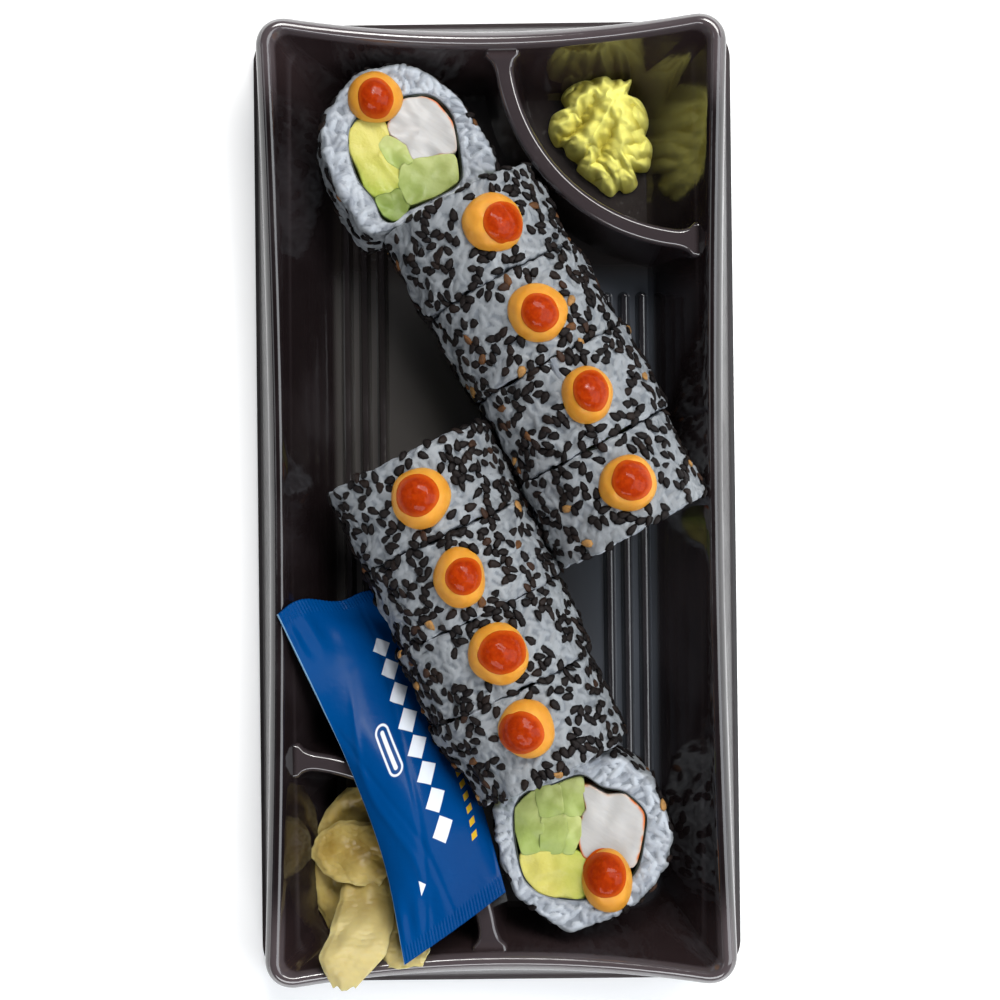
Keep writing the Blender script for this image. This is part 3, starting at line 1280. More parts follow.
# Seeds: near black, with a few brown and golden ones, and a greyer bloom on their flats.
def seedMaterial():
    material, tree, shader = newMaterial("sesameSeeds", Specular_IOR_Level=0.09)
    specks = useGroup(tree, "blotches", Scale=1300, Low=0.35, High=0.65, Detail=2)
    ramp = addNode(tree, "ShaderNodeValToRGB", {"Fac": field(tree, "tone")})
    stops = ramp.color_ramp.elements
    ramp.color_ramp.interpolation = "CONSTANT"
    tones = [
        (0.0, (0.0042, 0.0034, 0.0036)), (0.45, (0.0062, 0.0046, 0.0044)), (0.82, (0.012, 0.0075, 0.006)),
        (0.93, (0.036, 0.018, 0.011)), (0.968, (0.11, 0.048, 0.018)), (0.985, (0.34, 0.18, 0.06)),
    ]
    stops.remove(stops[1])
    stops[0].color = (*tones[0][1], 1)
    for place, colour in tones[1:]:
        stops.new(place).color = (*colour, 1)
    bloom = calculate(tree, "MULTIPLY_ADD", specks, 0.35, 0.12)
    bloom = multiply(tree, remap(tree, field(tree, "face"), 0.2, 1.0), bloom)
    colour = mixColour(tree, bloom, ramp.outputs["Color"], (0.024, 0.019, 0.018))
    rough = calculate(tree, "MULTIPLY_ADD", specks, 0.2, 0.4)
    relief = useGroup(tree, "relief", Coarse=2500, Fine=6000, Share=0.4)
    finishShader(tree, shader, colour, rough, relief, 0.0002, 0.6)
    return material


# Where the seeds of one piece lie: thick in some patches, thin in others, hardly any on a cut face, none
# under a dollop or near the floor.
def seedWeights(piece, surface):
    points = surface["points"]
    patches = softField(points, seedShape["patchSize"], 900 + piece["number"])
    weight = np.where(surface["outer"], smoothStep(-1.1, 0.9, patches) + 0.05, 0.0)
    weight[points[:, 2] < seedShape["lowest"]] = 0
    for centre, *_ in dollops:
        near = np.hypot(*(points[:, :2] - centre).T) < seedShape["dollopClear"]
        weight[near & (points[:, 2] > 20)] = 0
    if not piece["lying"]:
        weight[surface["face"]] = seedShape["onCutFace"]
    return weight


# Each seed lies flat on the rice where it was pressed in, with a random turn and a small tilt.
def addSeeds(pieces, surfaces):
    shape = seedShape
    random = np.random.default_rng(77)
    places, normals = [], []
    for piece in pieces:
        surface = surfaces[piece["number"]]
        count = shape["perLying"] if piece["lying"] else shape["perStanding"]
        spots = pickSpots(surface["points"], seedWeights(piece, surface), count, shape["spacing"], random)
        places.append(surface["points"][spots])
        normals.append(surface["normals"][spots])
    places, normals = np.concatenate(places), np.concatenate(normals)
    count = len(places)
    template, faceSets, face = seedTemplate()
    up = unit(normals + random.normal(size=(count, 3)) * shape["tilt"])
    heading = random.normal(size=(count, 3))
    heading = unit(heading - np.einsum("ij,ij->i", heading, up)[:, None] * up)
    sideways = np.cross(up, heading)
    lengths = random.uniform(*shape["length"], count)[:, None]
    widths = random.uniform(*shape["width"], count)[:, None]
    thick = shape["thickness"] * random.uniform(0.85, 1.1, count)[:, None]
    basis = np.stack([heading * lengths, sideways * widths, up * thick], 1)
    lifted = places + up * (thick * 0.5 - shape["sink"])
    points = np.einsum("vk,nkx->nvx", template, basis) + lifted[:, None, :]
    step = (np.arange(count) * len(template))[:, None, None]
    tone = np.repeat(random.uniform(size=count), len(template))
    seeds = {
        "points": keepInTray(points.reshape(-1, 3)),
        "faces": [(faceSet[None] + step).reshape(-1, faceSet.shape[1]) for faceSet in faceSets],
        "fields": {"tone": tone, "face": np.tile(face, count)},
    }
    addSurface("sesameSeeds", seeds, seedMaterial(), "rice")
    print("seeds:", count)


dollopShape = {
    "mayoRise": 5.0,
    "chiliRise": 1.0,
    "uneven": {2: 0.028, 3: 0.018, 5: 0.01},
    "sunk": 0.15,
    "underside": -0.7,
    "around": 64,
    "rings": 26,
}


# Height of a piece's upper surface under places in the plane.
def groundUnder(piece, places):
    if piece["lying"]:
        offset = places - piece["origin"][:2]
        across = offset @ piece["axes"][1][:2]
        inside = np.clip(1 - (across / piece["halfWidth"]) ** 2, 0, 1)
        return piece["origin"][2] + rollShape["halfHeight"] * np.sqrt(inside)
    normal = piece["axes"][0]
    face = piece["origin"] + normal * piece["end"]
    return face[2] - ((places - face[:2]) @ normal[:2]) / normal[2]


# Rise of a drop over its ground: steep at the border and round on top, (1 - r^2.3)^0.55.
def dropRise(part):
    return (1 - np.clip(part, 0, 1) ** 2.3) ** 0.55


# A drop: rings from the middle out along the top, then back underneath. Its border is a circle made
# slightly uneven, and its height is added to the ground's.
def dropSurface(centre, size, rise, ground, seed, bumps):
    random = np.random.default_rng(seed)
    angle = np.linspace(0, 2 * np.pi, dollopShape["around"], endpoint=False)[None, :]
    phases = random.uniform(0, 2 * np.pi, 3)
    lobes = zip(dollopShape["uneven"].items(), phases)
    uneven = 1 + sum(share * np.sin(count * angle + phase) for (count, share), phase in lobes)
    part = np.sin(np.linspace(0.04, np.pi / 2, dollopShape["rings"]))
    part = np.concatenate([part, [0.97, 0.7, 0.35]])[:, None]
    above = np.arange(len(part))[:, None] < dollopShape["rings"]
    half = np.array(size) / 2
    x = centre[0] + part * half[0] * uneven * np.cos(angle)
    y = centre[1] + part * half[1] * uneven * np.sin(angle)
    flat = np.stack([x, y], -1)
    base = ground(flat.reshape(-1, 2)).reshape(x.shape)
    height = np.where(above, rise * dropRise(part), dollopShape["underside"])
    points = np.stack([x, y, base + height - dollopShape["sunk"]], -1)
    waves = softField(points.reshape(-1, 3), 4.5, seed + 1).reshape(x.shape)
    fine = softField(points.reshape(-1, 3), 1.3, seed + 2).reshape(x.shape)
    points[..., 2] += np.where(above, (bumps[0] * waves + bumps[1] * fine) * (1 - part ** 4), 0)
    return ringSurface(points, {"rim": np.where(above, part, 1.0) + 0 * x})


def mayoMaterial():
    material, tree, shader = newMaterial(
        "spicyMayo", Subsurface_Weight=0.25, Subsurface_Scale=0.0015, Subsurface_Radius=(1.0, 0.45, 0.15),
        Specular_IOR_Level=0.25,
    )
    soft = useGroup(tree, "blotches", Scale=260, Low=0.35, High=0.7, Detail=2)
    colour = mixColour(tree, soft, (0.55, 0.232, 0.023), (0.61, 0.28, 0.035))
    rough = calculate(tree, "MULTIPLY_ADD", soft, 0.1, 0.38)
    relief = useGroup(tree, "relief", Coarse=500, Fine=1800, Share=0.2)
    finishShader(tree, shader, colour, rough, relief, 0.0003, 0.35)
    return material


# Chili sauce: deep red with pulp in it, thinner and more orange at its border.
def chiliMaterial():
    material, tree, shader = newMaterial(
        "chiliSauce", Subsurface_Weight=0.12, Subsurface_Scale=0.001, Subsurface_Radius=(1.0, 0.2, 0.05),
        Specular_IOR_Level=0.03, Coat_Weight=0.16, Coat_Roughness=0.04,
    )
    rim = remap(tree, field(tree, "rim"), 0.72, 1.0)
    pulp = useGroup(tree, "blotches", Scale=900, Low=0.35, High=0.7, Detail=3)
    colour = mixColour(tree, pulp, (0.255, 0.019, 0.0003), (0.325, 0.029, 0.0006))
    colour = mixColour(tree, multiply(tree, rim, 0.7), colour, (0.52, 0.085, 0.006))
    rough = calculate(tree, "MULTIPLY_ADD", pulp, 0.1, 0.45)
    relief = useGroup(tree, "relief", Coarse=1100, Fine=2600, Share=0.4)
    finishShader(tree, shader, colour, rough, relief, 0.0003, 0.6)
    return material


# Height of a mayonnaise drop's top under places in the plane.
def mayoTop(piece, centre, size, places):
    part = np.hypot(*((places - centre) / np.array(size) * 2).T)
    return groundUnder(piece, places) + dollopShape["mayoRise"] * dropRise(part)


def addDollops(pieces):
    mayo, chili = mayoMaterial(), chiliMaterial()
    for piece, (centre, size, chiliCentre, chiliSize) in zip(pieces, dollops):
        tag, seed = f"{piece['number']:02d}", 20 * piece["number"]
        drop = dropSurface(
            centre, size, dollopShape["mayoRise"],
            lambda places: groundUnder(piece, places), seed, (0.12, 0.0),
        )
        addSurface(f"mayoDrop_{tag}", drop, mayo, "mayo", f"mayo_{tag}")
        drop = dropSurface(
            chiliCentre, chiliSize, dollopShape["chiliRise"],
            lambda places: mayoTop(piece, centre, size, places), seed + 7, (0.06, 0.015),
        )
        addSurface(f"chiliDrop_{tag}", drop, chili, "chili", f"chili_{tag}")
    print("dollops:", len(dollops))


# Wasabi, piped from a star nozzle: its border on the floor, and the crest lines of its folds, which
# run out and down from the peak.
wasabiShape = {
    "floor": 1.1,
    "middle": (27.0, 88.2),
    "bodyHeight": 5.6,
    "fall": 0.62,
    "sharpness": 1.45,
    "softness": 0.14,
    "lipHeight": 0.62,
    "around": 400,
    "rings": 120,
    "border": [
        (33.6, 100.1), (32.6, 96.6), (34.7, 95.9), (36.4, 94.5), (37.5, 91.9), (37.6, 89.7), (36.8, 86.9),
        (38.2, 85.4), (38.5, 83.0), (37.3, 78.9), (33.8, 78.6), (34.9, 76.0), (33.6, 74.1), (31.6, 73.6),
        (30.4, 74.4), (28.5, 72.8), (26.4, 73.9), (24.9, 75.4), (22.3, 77.3), (20.2, 79.3), (20.4, 80.8),
        (18.0, 82.6), (17.0, 84.9), (15.2, 85.0), (13.9, 87.1), (13.5, 89.3), (14.2, 92.2), (15.7, 93.2),
        (17.6, 94.1), (16.6, 96.4), (17.6, 98.6), (20.2, 100.5), (23.3, 101.3), (26.5, 101.5), (27.9, 101.0),
        (28.8, 100.3), (30.9, 100.7), (31.8, 99.8),
    ],
    "crests": {
        "peakNorth": [(27.3, 94.6, 15.4), (27.1, 98.1, 13.9), (27.2, 101.2, 11.5)],
        "backFan": [(26.0, 96.4, 12.2), (23.2, 98.6, 10.0), (20.2, 99.4, 9.0), (17.1, 97.2, 8.0)],
        "west": [
            (28.1, 93.9, 15.5), (25.0, 96.0, 13.8), (21.7, 94.8, 11.9), (18.5, 93.1, 10.0),
            (15.2, 92.6, 8.2),
        ],
        "westLobe": [(19.6, 91.2, 8.6), (16.8, 89.6, 8.3), (14.2, 89.0, 7.2)],
        "southWest": [
            (28.0, 93.0, 15.5), (26.7, 90.6, 13.8), (24.2, 86.7, 11.6), (21.2, 84.8, 9.8),
            (18.0, 83.9, 7.6),
        ],
        "southWestLow": [(25.0, 85.6, 9.4), (23.6, 82.5, 8.2), (22.7, 79.6, 6.6)],
        "south": [
            (29.2, 92.8, 15.5), (30.8, 90.0, 14.2), (31.4, 87.8, 13.0), (30.7, 85.0, 11.6),
            (30.1, 83.0, 10.2), (31.9, 80.5, 8.6), (32.7, 78.5, 7.0),
        ],
        "east": [(30.0, 94.2, 15.3), (32.9, 94.8, 13.0), (36.0, 93.4, 9.6)],
        "eastMiddle": [(31.3, 91.0, 13.4), (34.4, 90.4, 11.4), (37.2, 89.9, 8.4)],
        "eastLow": [(31.6, 86.8, 11.6), (34.4, 86.6, 10.2), (36.8, 86.4, 8.0)],
        "southEast": [(31.0, 83.4, 9.4), (34.0, 82.9, 8.8), (37.9, 84.6, 7.8)],
        "southEastLow": [(32.8, 80.6, 8.2), (35.1, 79.9, 7.4), (37.0, 79.4, 6.4)],
        "spike": [(28.6, 94.8, 15.2), (31.0, 97.0, 14.4), (33.3, 99.6, 13.2)],
        "hemWest": [(22.6, 80.4, 6.4), (25.4, 78.4, 7.0), (27.0, 76.9, 6.6), (25.8, 74.9, 5.0)],
        "hemMiddle": [(28.2, 80.9, 8.4), (29.6, 78.5, 7.6), (30.2, 76.4, 6.6)],
        "hemEast": [(31.0, 77.4, 6.8), (33.0, 76.4, 6.4), (34.2, 75.6, 5.2)],
        "hemSouth": [(27.9, 76.2, 5.8), (28.4, 74.4, 5.4), (28.6, 73.2, 4.6)],
    },
}


# A relief over the plane: from every crest the paste falls away by fall * distance^sharpness, and the
# highest of all crests and of the round body counts, with the valleys softened. At the border it turns
# down to the floor as (1 - part^9)^lipHeight.
def wasabiSurface():
    shape = wasabiShape
    angle = np.linspace(0, 2 * np.pi, shape["around"], endpoint=False)[None, :]
    border = outlineRadius(smoothOutline(shape["border"], 400), np.array(shape["middle"]), angle)
    part = np.sin(np.linspace(np.pi / 2, 0.02, shape["rings"]))[:, None]
    x = shape["middle"][0] + part * border * np.cos(angle)
    y = shape["middle"][1] + part * border * np.sin(angle)
    flat = np.stack([x, y, 0 * x], -1).reshape(-1, 3)
    wander = np.stack([softField(flat, 3.2, 31), softField(flat, 3.2, 32)], -1)
    flat = flat[:, :2] + 0.35 * wander
    body = shape["bodyHeight"] * (1 - part ** 2.6) + 0 * x
    heights, distances = [body.ravel()], [np.full(len(flat), 3.0)]
    for crest in shape["crests"].values():
        line = smoothCurve(crest, np.linspace(0, 1, 56))
        squares = ((flat[:, None, :] - line[None, :, :2]) ** 2).sum(-1)
        nearest = squares.argmin(1)
        distance = np.sqrt(squares[np.arange(len(flat)), nearest] + 0.01)
        heights.append(line[nearest, 2] - shape["floor"] - shape["fall"] * distance ** shape["sharpness"])
        distances.append(distance)
    heights = np.stack(heights)
    distance = np.stack(distances)[heights.argmax(0), np.arange(len(flat))].reshape(x.shape)
    height = shape["softness"] * np.logaddexp.reduce(heights / shape["softness"], axis=0).reshape(x.shape)
    height = np.maximum(height, 1.0) * (1 - part ** 9) ** shape["lipHeight"]
    points = np.stack([x, y, shape["floor"] + height], -1)
    wrinkles = 0.07 * softField(points.reshape(-1, 3), 3.4, 5).reshape(x.shape)
    points[..., 2] = np.maximum(points[..., 2] + wrinkles * np.minimum(height / 4, 1), shape["floor"])
    return ringSurface(points, {"crest": np.exp(-(distance / 2.1) ** 2)})


# Wasabi paste: olive in the folds, pale yellow green on the crests.
def wasabiMaterial():
    material, tree, shader = newMaterial(
        "pipedWasabi", Subsurface_Weight=0.15, Subsurface_Scale=0.0008, Subsurface_Radius=(1.0, 0.9, 0.25),
        Specular_IOR_Level=0.12,
    )
    mottled = useGroup(tree, "blotches", Scale=260, Low=0.35, High=0.7, Detail=4)
    colour = mixColour(tree, field(tree, "crest"), (0.44, 0.37, 0.042), (0.76, 0.72, 0.175))
    colour = mixColour(tree, multiply(tree, mottled, 0.35), colour, (0.66, 0.62, 0.155))
    rough = calculate(tree, "MULTIPLY_ADD", mottled, 0.15, 0.5)
    relief = useGroup(tree, "relief", Coarse=900, Fine=2600, Share=0.5)
    finishShader(tree, shader, colour, rough, relief, 0.00012, 0.5)
    return material


def addWasabi():
    surface = wasabiSurface()
    addSurface("pipedWasabi", surface, wasabiMaterial(), "wasabi", "wasabi")
    print("wasabi:", len(surface["points"]), "points")


# Pickled ginger, in four soft slices, each between a left and a right edge curve.
gingerSlices = [
    {
        "left": [
            (-35.2, -66.9, 10.2), (-40.2, -71.4, 10.2), (-43.2, -77.4, 11.0), (-44.6, -85.0, 12.4),
            (-44.0, -92.6, 12.6), (-40.8, -99.6, 12.0),
        ],
        "right": [
            (-26.0, -68.0, 11.2), (-25.0, -74.0, 11.0), (-24.6, -80.0, 10.6), (-25.0, -87.0, 10.2),
            (-28.0, -94.0, 10.2), (-36.5, -99.6, 11.0),
        ],
        "thickness": 1.5, "bulge": 0.8, "folds": 0.5, "seed": 1,
    },
    {
        "left": [
            (-37.6, -74.4, 13.4), (-42.2, -77.6, 13.6), (-43.9, -82.0, 14.6), (-42.0, -85.6, 16.0),
            (-38.2, -87.8, 17.6),
        ],
        "right": [
            (-28.0, -74.6, 14.6), (-25.4, -77.0, 15.2), (-24.8, -81.0, 15.8), (-25.4, -85.4, 16.8),
            (-28.2, -89.4, 18.2),
        ],
        "thickness": 1.6, "bulge": 1.0, "folds": 0.3, "seed": 2,
    },
    {
        "left": [
            (-37.8, -83.5, 13.0), (-36.6, -88.4, 15.8), (-37.8, -93.4, 20.6), (-39.4, -98.5, 26.0),
            (-40.8, -103.4, 29.2), (-38.0, -110.0, 27.6),
        ],
        "right": [
            (-25.5, -83.5, 13.2), (-26.0, -89.0, 15.8), (-24.6, -94.6, 19.6), (-25.0, -99.4, 24.4),
            (-27.0, -103.6, 28.0), (-33.2, -110.2, 27.4),
        ],
        "thickness": 1.4, "bulge": 0.8, "folds": 0.22, "seed": 3,
    },
    {
        "left": [(-28.2, -91.0, 12.6), (-28.4, -97.4, 17.4), (-27.8, -102.6, 22.4), (-26.0, -106.4, 24.8)],
        "right": [(-16.4, -91.0, 12.6), (-16.6, -97.2, 18.0), (-16.4, -102.0, 23.4), (-17.8, -105.8, 25.4)],
        "thickness": 1.3, "bulge": 0.6, "folds": 0.4, "seed": 4,
    },
]

gingerLook = {
    "across": 72,
    "along": 110,
    "edge": 0.12,
    "edgeThickness": 0.12,
    "wander": {9: 0.03, 23: 0.018, 51: 0.01},
    "torn": {9: 0.014, 21: 0.005},
    "uneven": {7.0: 0.3, 1.6: 0.05},
}


# A soft slice: straight across plus a bulge, with shallow pleats drawn out along it and a torn,
# wandering border; its thickness falls to an eighth at the border.
def gingerSurface(cut):
    look, seed = gingerLook, cut["seed"]
    u = np.linspace(0, 1, look["across"])[:, None]
    v = np.linspace(0, 1, look["along"])[None, :]
    left, right = smoothCurve(cut["left"], v[0]), smoothCurve(cut["right"], v[0])
    turns = zip(look["wander"].items(), (2, 1, 2))
    wander = sum(share * np.sin(count * v + turn * seed) for (count, share), turn in turns)
    spread = ((u - 0.5) * (1 + wander) + 0.5)[..., None]
    middle = left[None] * (1 - spread) + right[None] * spread
    along = np.gradient(middle, axis=1) * look["along"]
    turns = zip(look["torn"].items(), (1, 2))
    torn = sum(share * np.sin(count * u + turn * seed) for (count, share), turn in turns)
    middle = middle + along * (torn * np.abs(2 * v - 1) ** 3)[..., None]
    pleats = np.sin(7 * u + 3 * v + seed) + 0.3 * np.sin(15 * u - 5 * v + 2.2 * seed)
    middle[..., 2] += cut["bulge"] * np.sin(np.pi * u) + cut["folds"] * pleats
    flat = middle.reshape(-1, 3)
    seeds = zip(look["uneven"].items(), (60 + seed, 70 + seed))
    uneven = sum(share * softField(flat, size, own) for (size, share), own in seeds)
    middle[..., 2] += uneven.reshape(pleats.shape)
    normals = facingUp(gridNormals(middle))
    fromEdge = np.minimum(np.minimum(u, 1 - u), np.minimum(v, 1 - v))
    thin = look["edgeThickness"]
    thick = cut["thickness"] * (thin + (1 - thin) * smoothStep(0, look["edge"], fromEdge))
    half = normals * thick[..., None] / 2
    return sheetSurface(middle + half, middle - half, {"thin": 1 - smoothStep(0, 0.2, fromEdge)})


# Ginger: golden in the hollows and paler where it is thin or lies high, with fibres along it.
def gingerMaterial():
    material, tree, shader = newMaterial(
        "pickledGinger", Subsurface_Weight=0.4, Subsurface_Scale=0.0025, Subsurface_Radius=(1.0, 0.8, 0.35),
        Specular_IOR_Level=0.25,
    )
    fibres = useGroup(tree, "fibres", Scale=700, Stretch=0.12, Turn=1.25)
    cloudy = useGroup(tree, "blotches", Scale=130, Low=0.3, High=0.7, Detail=4)
    height = axesOf(tree, objectPlace(tree))["Z"]
    colour = mixColour(tree, cloudy, (0.22, 0.135, 0.020), (0.34, 0.25, 0.065))
    colour = mixColour(tree, multiply(tree, fibres, 0.3), colour, (0.42, 0.34, 0.12))
    colour = mixColour(tree, multiply(tree, field(tree, "thin"), 0.4), colour, (0.42, 0.35, 0.15))
    colour = mixColour(tree, remap(tree, height, 0.016, 0.026, 0, 0.75), colour, (0.50, 0.42, 0.19))
    rough = calculate(tree, "MULTIPLY_ADD", cloudy, 0.2, 0.32)
    finishShader(tree, shader, colour, rough, fibres, 0.00015, 0.4)
    return material


def addGinger():
    material = gingerMaterial()
    for k, cut in enumerate(gingerSlices):
        addSurface(f"gingerSlice_{k + 1}", gingerSurface(cut), material, "ginger", f"ginger_{k + 1}")
    print("ginger:", len(gingerSlices), "slices")


# The sachet: three long curves from its top end to its bottom end.
sachetShape = {
    "left": [(-50.4, -25, 26), (-41, -46, 22.5), (-32.6, -64, 24.8), (-26, -83, 26), (-21.8, -104.6, 29.4)],
    "middle": [
        (-39.5, -22.4, 16.5), (-30.5, -38.5, 15.5), (-22.6, -57, 22.4), (-15, -75, 25.6),
        (-10.5, -97.4, 26.6),
    ],
    "right": [(-28, -22, 8.5), (-21.4, -34, 7), (-13.5, -48, 8), (-5.6, -67, 15), (1.2, -89.6, 23.5)],
    "thickness": 4.0,
    "crimp": 0.7,
    "topWave": 1.3,
    "endCrease": 0.28,
    "dent": 0.35,
    "crease": 0.30,
    "folds": (0.22, 0.18),
    "teeth": 34,
    "toothHeight": 0.12,
    "ridgePitch": 0.9,
    "across": 120,
    "along": 240,
}


# A pillow of film: quadratic across three long curves, thick in the middle and thin at the crimped
# ends, with creases that run in from the ends and long soft dents. UVs are millimetres on the film.
def addSachet():
    shape = sachetShape
    u = np.linspace(0, 1, shape["across"])[:, None]
    v = np.linspace(0, 1, shape["along"])[None, :]
    left, middle, right = (smoothCurve(shape[side], v[0])[None] for side in ("left", "middle", "right"))
    part = u[..., None]
    core = left * (1 - part) * (1 - 2 * part) + middle * 4 * part * (1 - part)
    core = core + right * part * (2 * part - 1)
    wave = np.sin(2 * np.pi * (1.45 * u - 0.10)) * (1 - smoothStep(0, 0.14, v))
    core = core + shape["topWave"] * wave[..., None] * np.array([-0.35, 0.75, 0.9])
    normals = facingUp(gridNormals(core))
    fromEnd = np.minimum(v, 1 - v)
    sideways = np.sin(np.pi * u) ** 0.8
    swollen = (shape["thickness"] - shape["crimp"]) * sideways * smoothStep(0.045, 0.22, fromEnd)
    thick = shape["crimp"] + swollen
    lift = shape["endCrease"] * np.sin(26 * u + 3 * np.sin(5 * u)) * np.exp(-((fromEnd - 0.09) / 0.05) ** 2)
    lift = lift + shape["dent"] * np.sin(6.2 * u + 9 * v + 1) * np.sin(7 * v + 2) * sideways
    bent = np.exp(-((u - 0.2 - 0.10 * np.sin(9 * v)) / 0.035) ** 2)
    lift = lift + shape["crease"] * bent * smoothStep(0.15, 0.5, v)
    lift = lift - shape["folds"][0] * np.exp(-((u + 0.55 * v - 0.78) / 0.03) ** 2)
    lift = lift - shape["folds"][1] * np.exp(-((u - 0.8 * v + 0.25) / 0.025) ** 2)
    teeth = shape["toothHeight"] * np.sin(2 * np.pi * u * shape["teeth"]) * (fromEnd < 0.04)
    lift = lift * smoothStep(0, 0.05, np.minimum(u, 1 - u)) + teeth
    upper = core + normals * (thick / 2 + lift)[..., None]
    lower = core - normals * (thick / 2 - np.minimum(lift, 0))[..., None]
    width = np.linalg.norm(right - left, axis=-1).mean()
    length = np.linalg.norm(np.diff(middle[0], axis=0), axis=1).sum()
    uv = np.stack([u * width + 0 * v, v * length + 0 * u], -1).reshape(-1, 2)
    crimped = 1 - smoothStep(0.03, 0.05, fromEnd) + 0 * u
    surface = sheetSurface(upper, lower, {"crimp": crimped, "side": u + 0 * v})
    surface["uv"] = np.concatenate([uv, uv])
    addSurface("sauceSachet", surface, sachetFilm(), "sachet", "sauce_sachet")
    print("sachet:", round(float(width), 1), "x", round(float(length), 1), "mm")


# The print, in millimetres across and along the film: where each row runs, its pitch and its reach.
printShape = {
    "softEdge": 0.12,
    "diamondLine": 20.8,
    "diamondDrift": -0.078,
    "diamondPitch": 6.4,
    "diamondHalf": (2.9, 2.9),
    "diamondSpan": (14.8, 66.0),
    "dashDistance": 8.2,
    "dashPitch": 2.6,
    "dashHalf": (0.85, 0.65),
    "dashSpan": (41.6, 70.2),
    "pillPlace": (10.9, 39.8),
    "pillReach": (1.9, 6.0),
    "pillRound": 0.5,
    "wedgePlace": (7.4, 70.4),
    "wedgeReach": 1.6,
}


# Masks of the print from places across and along the film: what is white, and the golden dashes.
def printMasks(tree, across, along):
    shape = printShape
    soft = shape["softEdge"]

    def within(value, low, high):
        rising = remap(tree, value, low - soft, low + soft)
        return multiply(tree, rising, remap(tree, value, high + soft, high - soft))

    def scaledDistance(value, centre, reach):
        offset = calculate(tree, "ABSOLUTE", calculate(tree, "SUBTRACT", value, centre))
        return calculate(tree, "DIVIDE", offset, reach)

    line = calculate(tree, "MULTIPLY_ADD", along, shape["diamondDrift"], shape["diamondLine"])
    fromLine = calculate(tree, "SUBTRACT", across, line)
    pitch = shape["diamondPitch"]
    fromFirst = calculate(tree, "SUBTRACT", along, shape["diamondSpan"][0])
    cell = calculate(tree, "FLOORED_MODULO", fromFirst, pitch)
    diamonds = calculate(
        tree, "ADD", scaledDistance(fromLine, 0.0, shape["diamondHalf"][0]),
        scaledDistance(cell, pitch / 2, shape["diamondHalf"][1]),
    )
    diamonds = multiply(tree, remap(tree, diamonds, 1.04, 0.96), within(along, *shape["diamondSpan"]))
    pitch = shape["dashPitch"]
    dashes = calculate(
        tree, "MAXIMUM", scaledDistance(fromLine, shape["dashDistance"], shape["dashHalf"][0]),
        scaledDistance(calculate(tree, "FLOORED_MODULO", along, pitch), pitch / 2, shape["dashHalf"][1]),
    )
    dashes = multiply(tree, remap(tree, dashes, 1.12, 0.9), within(along, *shape["dashSpan"]))

    radius, reach = shape["pillReach"]
    pillAcross = calculate(tree, "SUBTRACT", across, shape["pillPlace"][0])
    pillAlong = calculate(tree, "ABSOLUTE", calculate(tree, "SUBTRACT", along, shape["pillPlace"][1]))
    pillAlong = calculate(tree, "MAXIMUM", calculate(tree, "SUBTRACT", pillAlong, reach - radius), 0.0)
    squares = calculate(tree, "MULTIPLY_ADD", pillAcross, pillAcross, multiply(tree, pillAlong, pillAlong))
    fromPill = calculate(tree, "SQRT", squares)
    ring = within(fromPill, radius - shape["pillRound"], radius)
    core = remap(tree, fromPill, shape["pillRound"] + soft, shape["pillRound"] - soft)
    pill = calculate(tree, "MAXIMUM", ring, core)
    wedge = calculate(
        tree, "ADD", scaledDistance(across, shape["wedgePlace"][0], shape["wedgeReach"]),
        scaledDistance(along, shape["wedgePlace"][1], shape["wedgeReach"]),
    )
    wedge = multiply(tree, remap(tree, wedge, 1.06, 0.94), remap(tree, across, 7.3, 7.5))
    return calculate(tree, "MAXIMUM", calculate(tree, "MAXIMUM", diamonds, pill), wedge), dashes


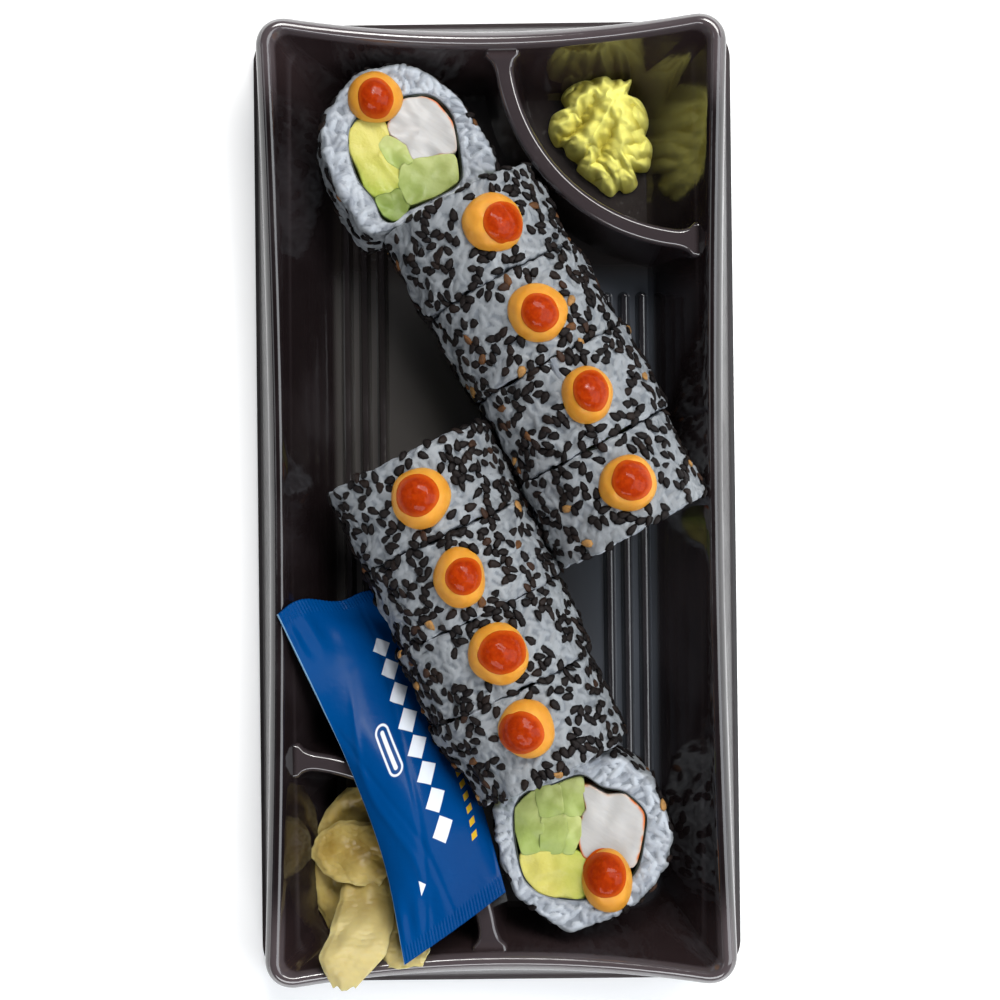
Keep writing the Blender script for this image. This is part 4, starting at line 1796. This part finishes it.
# Printed film: blue, with a row of plain white diamonds, a line of golden dashes, a pale pill with a
# blue middle and a small wedge. Its crimped ends are ridged across.
def sachetFilm():
    material, tree, shader = newMaterial(
        "sachetFilm", Specular_IOR_Level=0.02, Coat_Weight=0.06, Coat_Roughness=0.18,
    )
    across, along, _ = axesOf(tree, addNode(tree, "ShaderNodeUVMap", {}, uv_map="print").outputs["UV"])
    white, dashes = printMasks(tree, across, along)
    side = field(tree, "side")
    cloudy = useGroup(tree, "blotches", Scale=60, Low=0.3, High=0.7, Detail=3)
    blue = mixColour(tree, remap(tree, side, 0.1, 0.7), (0.0, 0.040, 0.160), (0.0, 0.034, 0.143))
    blue = mixColour(tree, multiply(tree, cloudy, 0.3), blue, (0.0, 0.052, 0.195))
    colour = mixColour(tree, white, blue, (0.60, 0.64, 0.70))
    colour = mixColour(tree, dashes, colour, (0.50, 0.31, 0.02))
    colour = mixColour(tree, remap(tree, side, 0.006, 0.001), colour, (0.20, 0.36, 0.52))
    rough = calculate(tree, "MULTIPLY_ADD", cloudy, 0.1, 0.22)
    ridges = calculate(tree, "SINE", multiply(tree, along, 2 * math.pi / sachetShape["ridgePitch"]))
    ridges = multiply(tree, ridges, field(tree, "crimp"))
    film = useGroup(tree, "relief", Coarse=160, Fine=900, Share=0.15)
    relief = calculate(tree, "MULTIPLY_ADD", ridges, 0.05, film)
    finishShader(tree, shader, colour, rough, relief, 0.0008, 0.45)
    return material


# The floor is stage only: a pale sheet just under the tray that shines more the farther out it is.
def addFloor():
    half, drop = studio["floorSize"] / 2, -studio["floorDrop"]
    corners = [(-half, -half, drop), (half, -half, drop), (half, half, drop), (-half, half, drop)]
    mesh = bpy.data.meshes.new("floor")
    mesh.from_pydata(corners, [], [(0, 1, 2, 3)])
    floor = addObject("floor", mesh)
    material, tree, shader = newMaterial("paleFloor", Roughness=0.7, Emission_Strength=1.0)
    distance = addNode(tree, "ShaderNodeVectorMath", {0: objectPlace(tree)}, operation="LENGTH")
    far = remap(tree, distance.outputs["Value"], *studio["farFrom"])
    shine = mixColour(tree, far, studio["nearColour"], studio["farColour"])
    cloudy = useGroup(tree, "blotches", Scale=6, Low=0.3, High=0.7, Detail=2)
    pale = studio["floorColour"]
    colour = mixColour(tree, cloudy, pale, tuple(part * 0.98 for part in pale))
    feed(tree, shader.inputs["Base Color"], colour)
    feed(tree, shader.inputs["Emission Color"], shine)
    mesh.materials.append(material)


addCamera()
addWorld()
for lampName, lamp in studio["lamps"].items():
    addLamp(lampName, *lamp)
addFloor()
print("studio:", len(studio["lamps"]), "lamps")
addTray()
rolls = placeRolls()
riceSurfaces = addRolls(rolls)
addSeeds(rolls, riceSurfaces)
addDollops(rolls)
addWasabi()
addGinger()
addSachet()
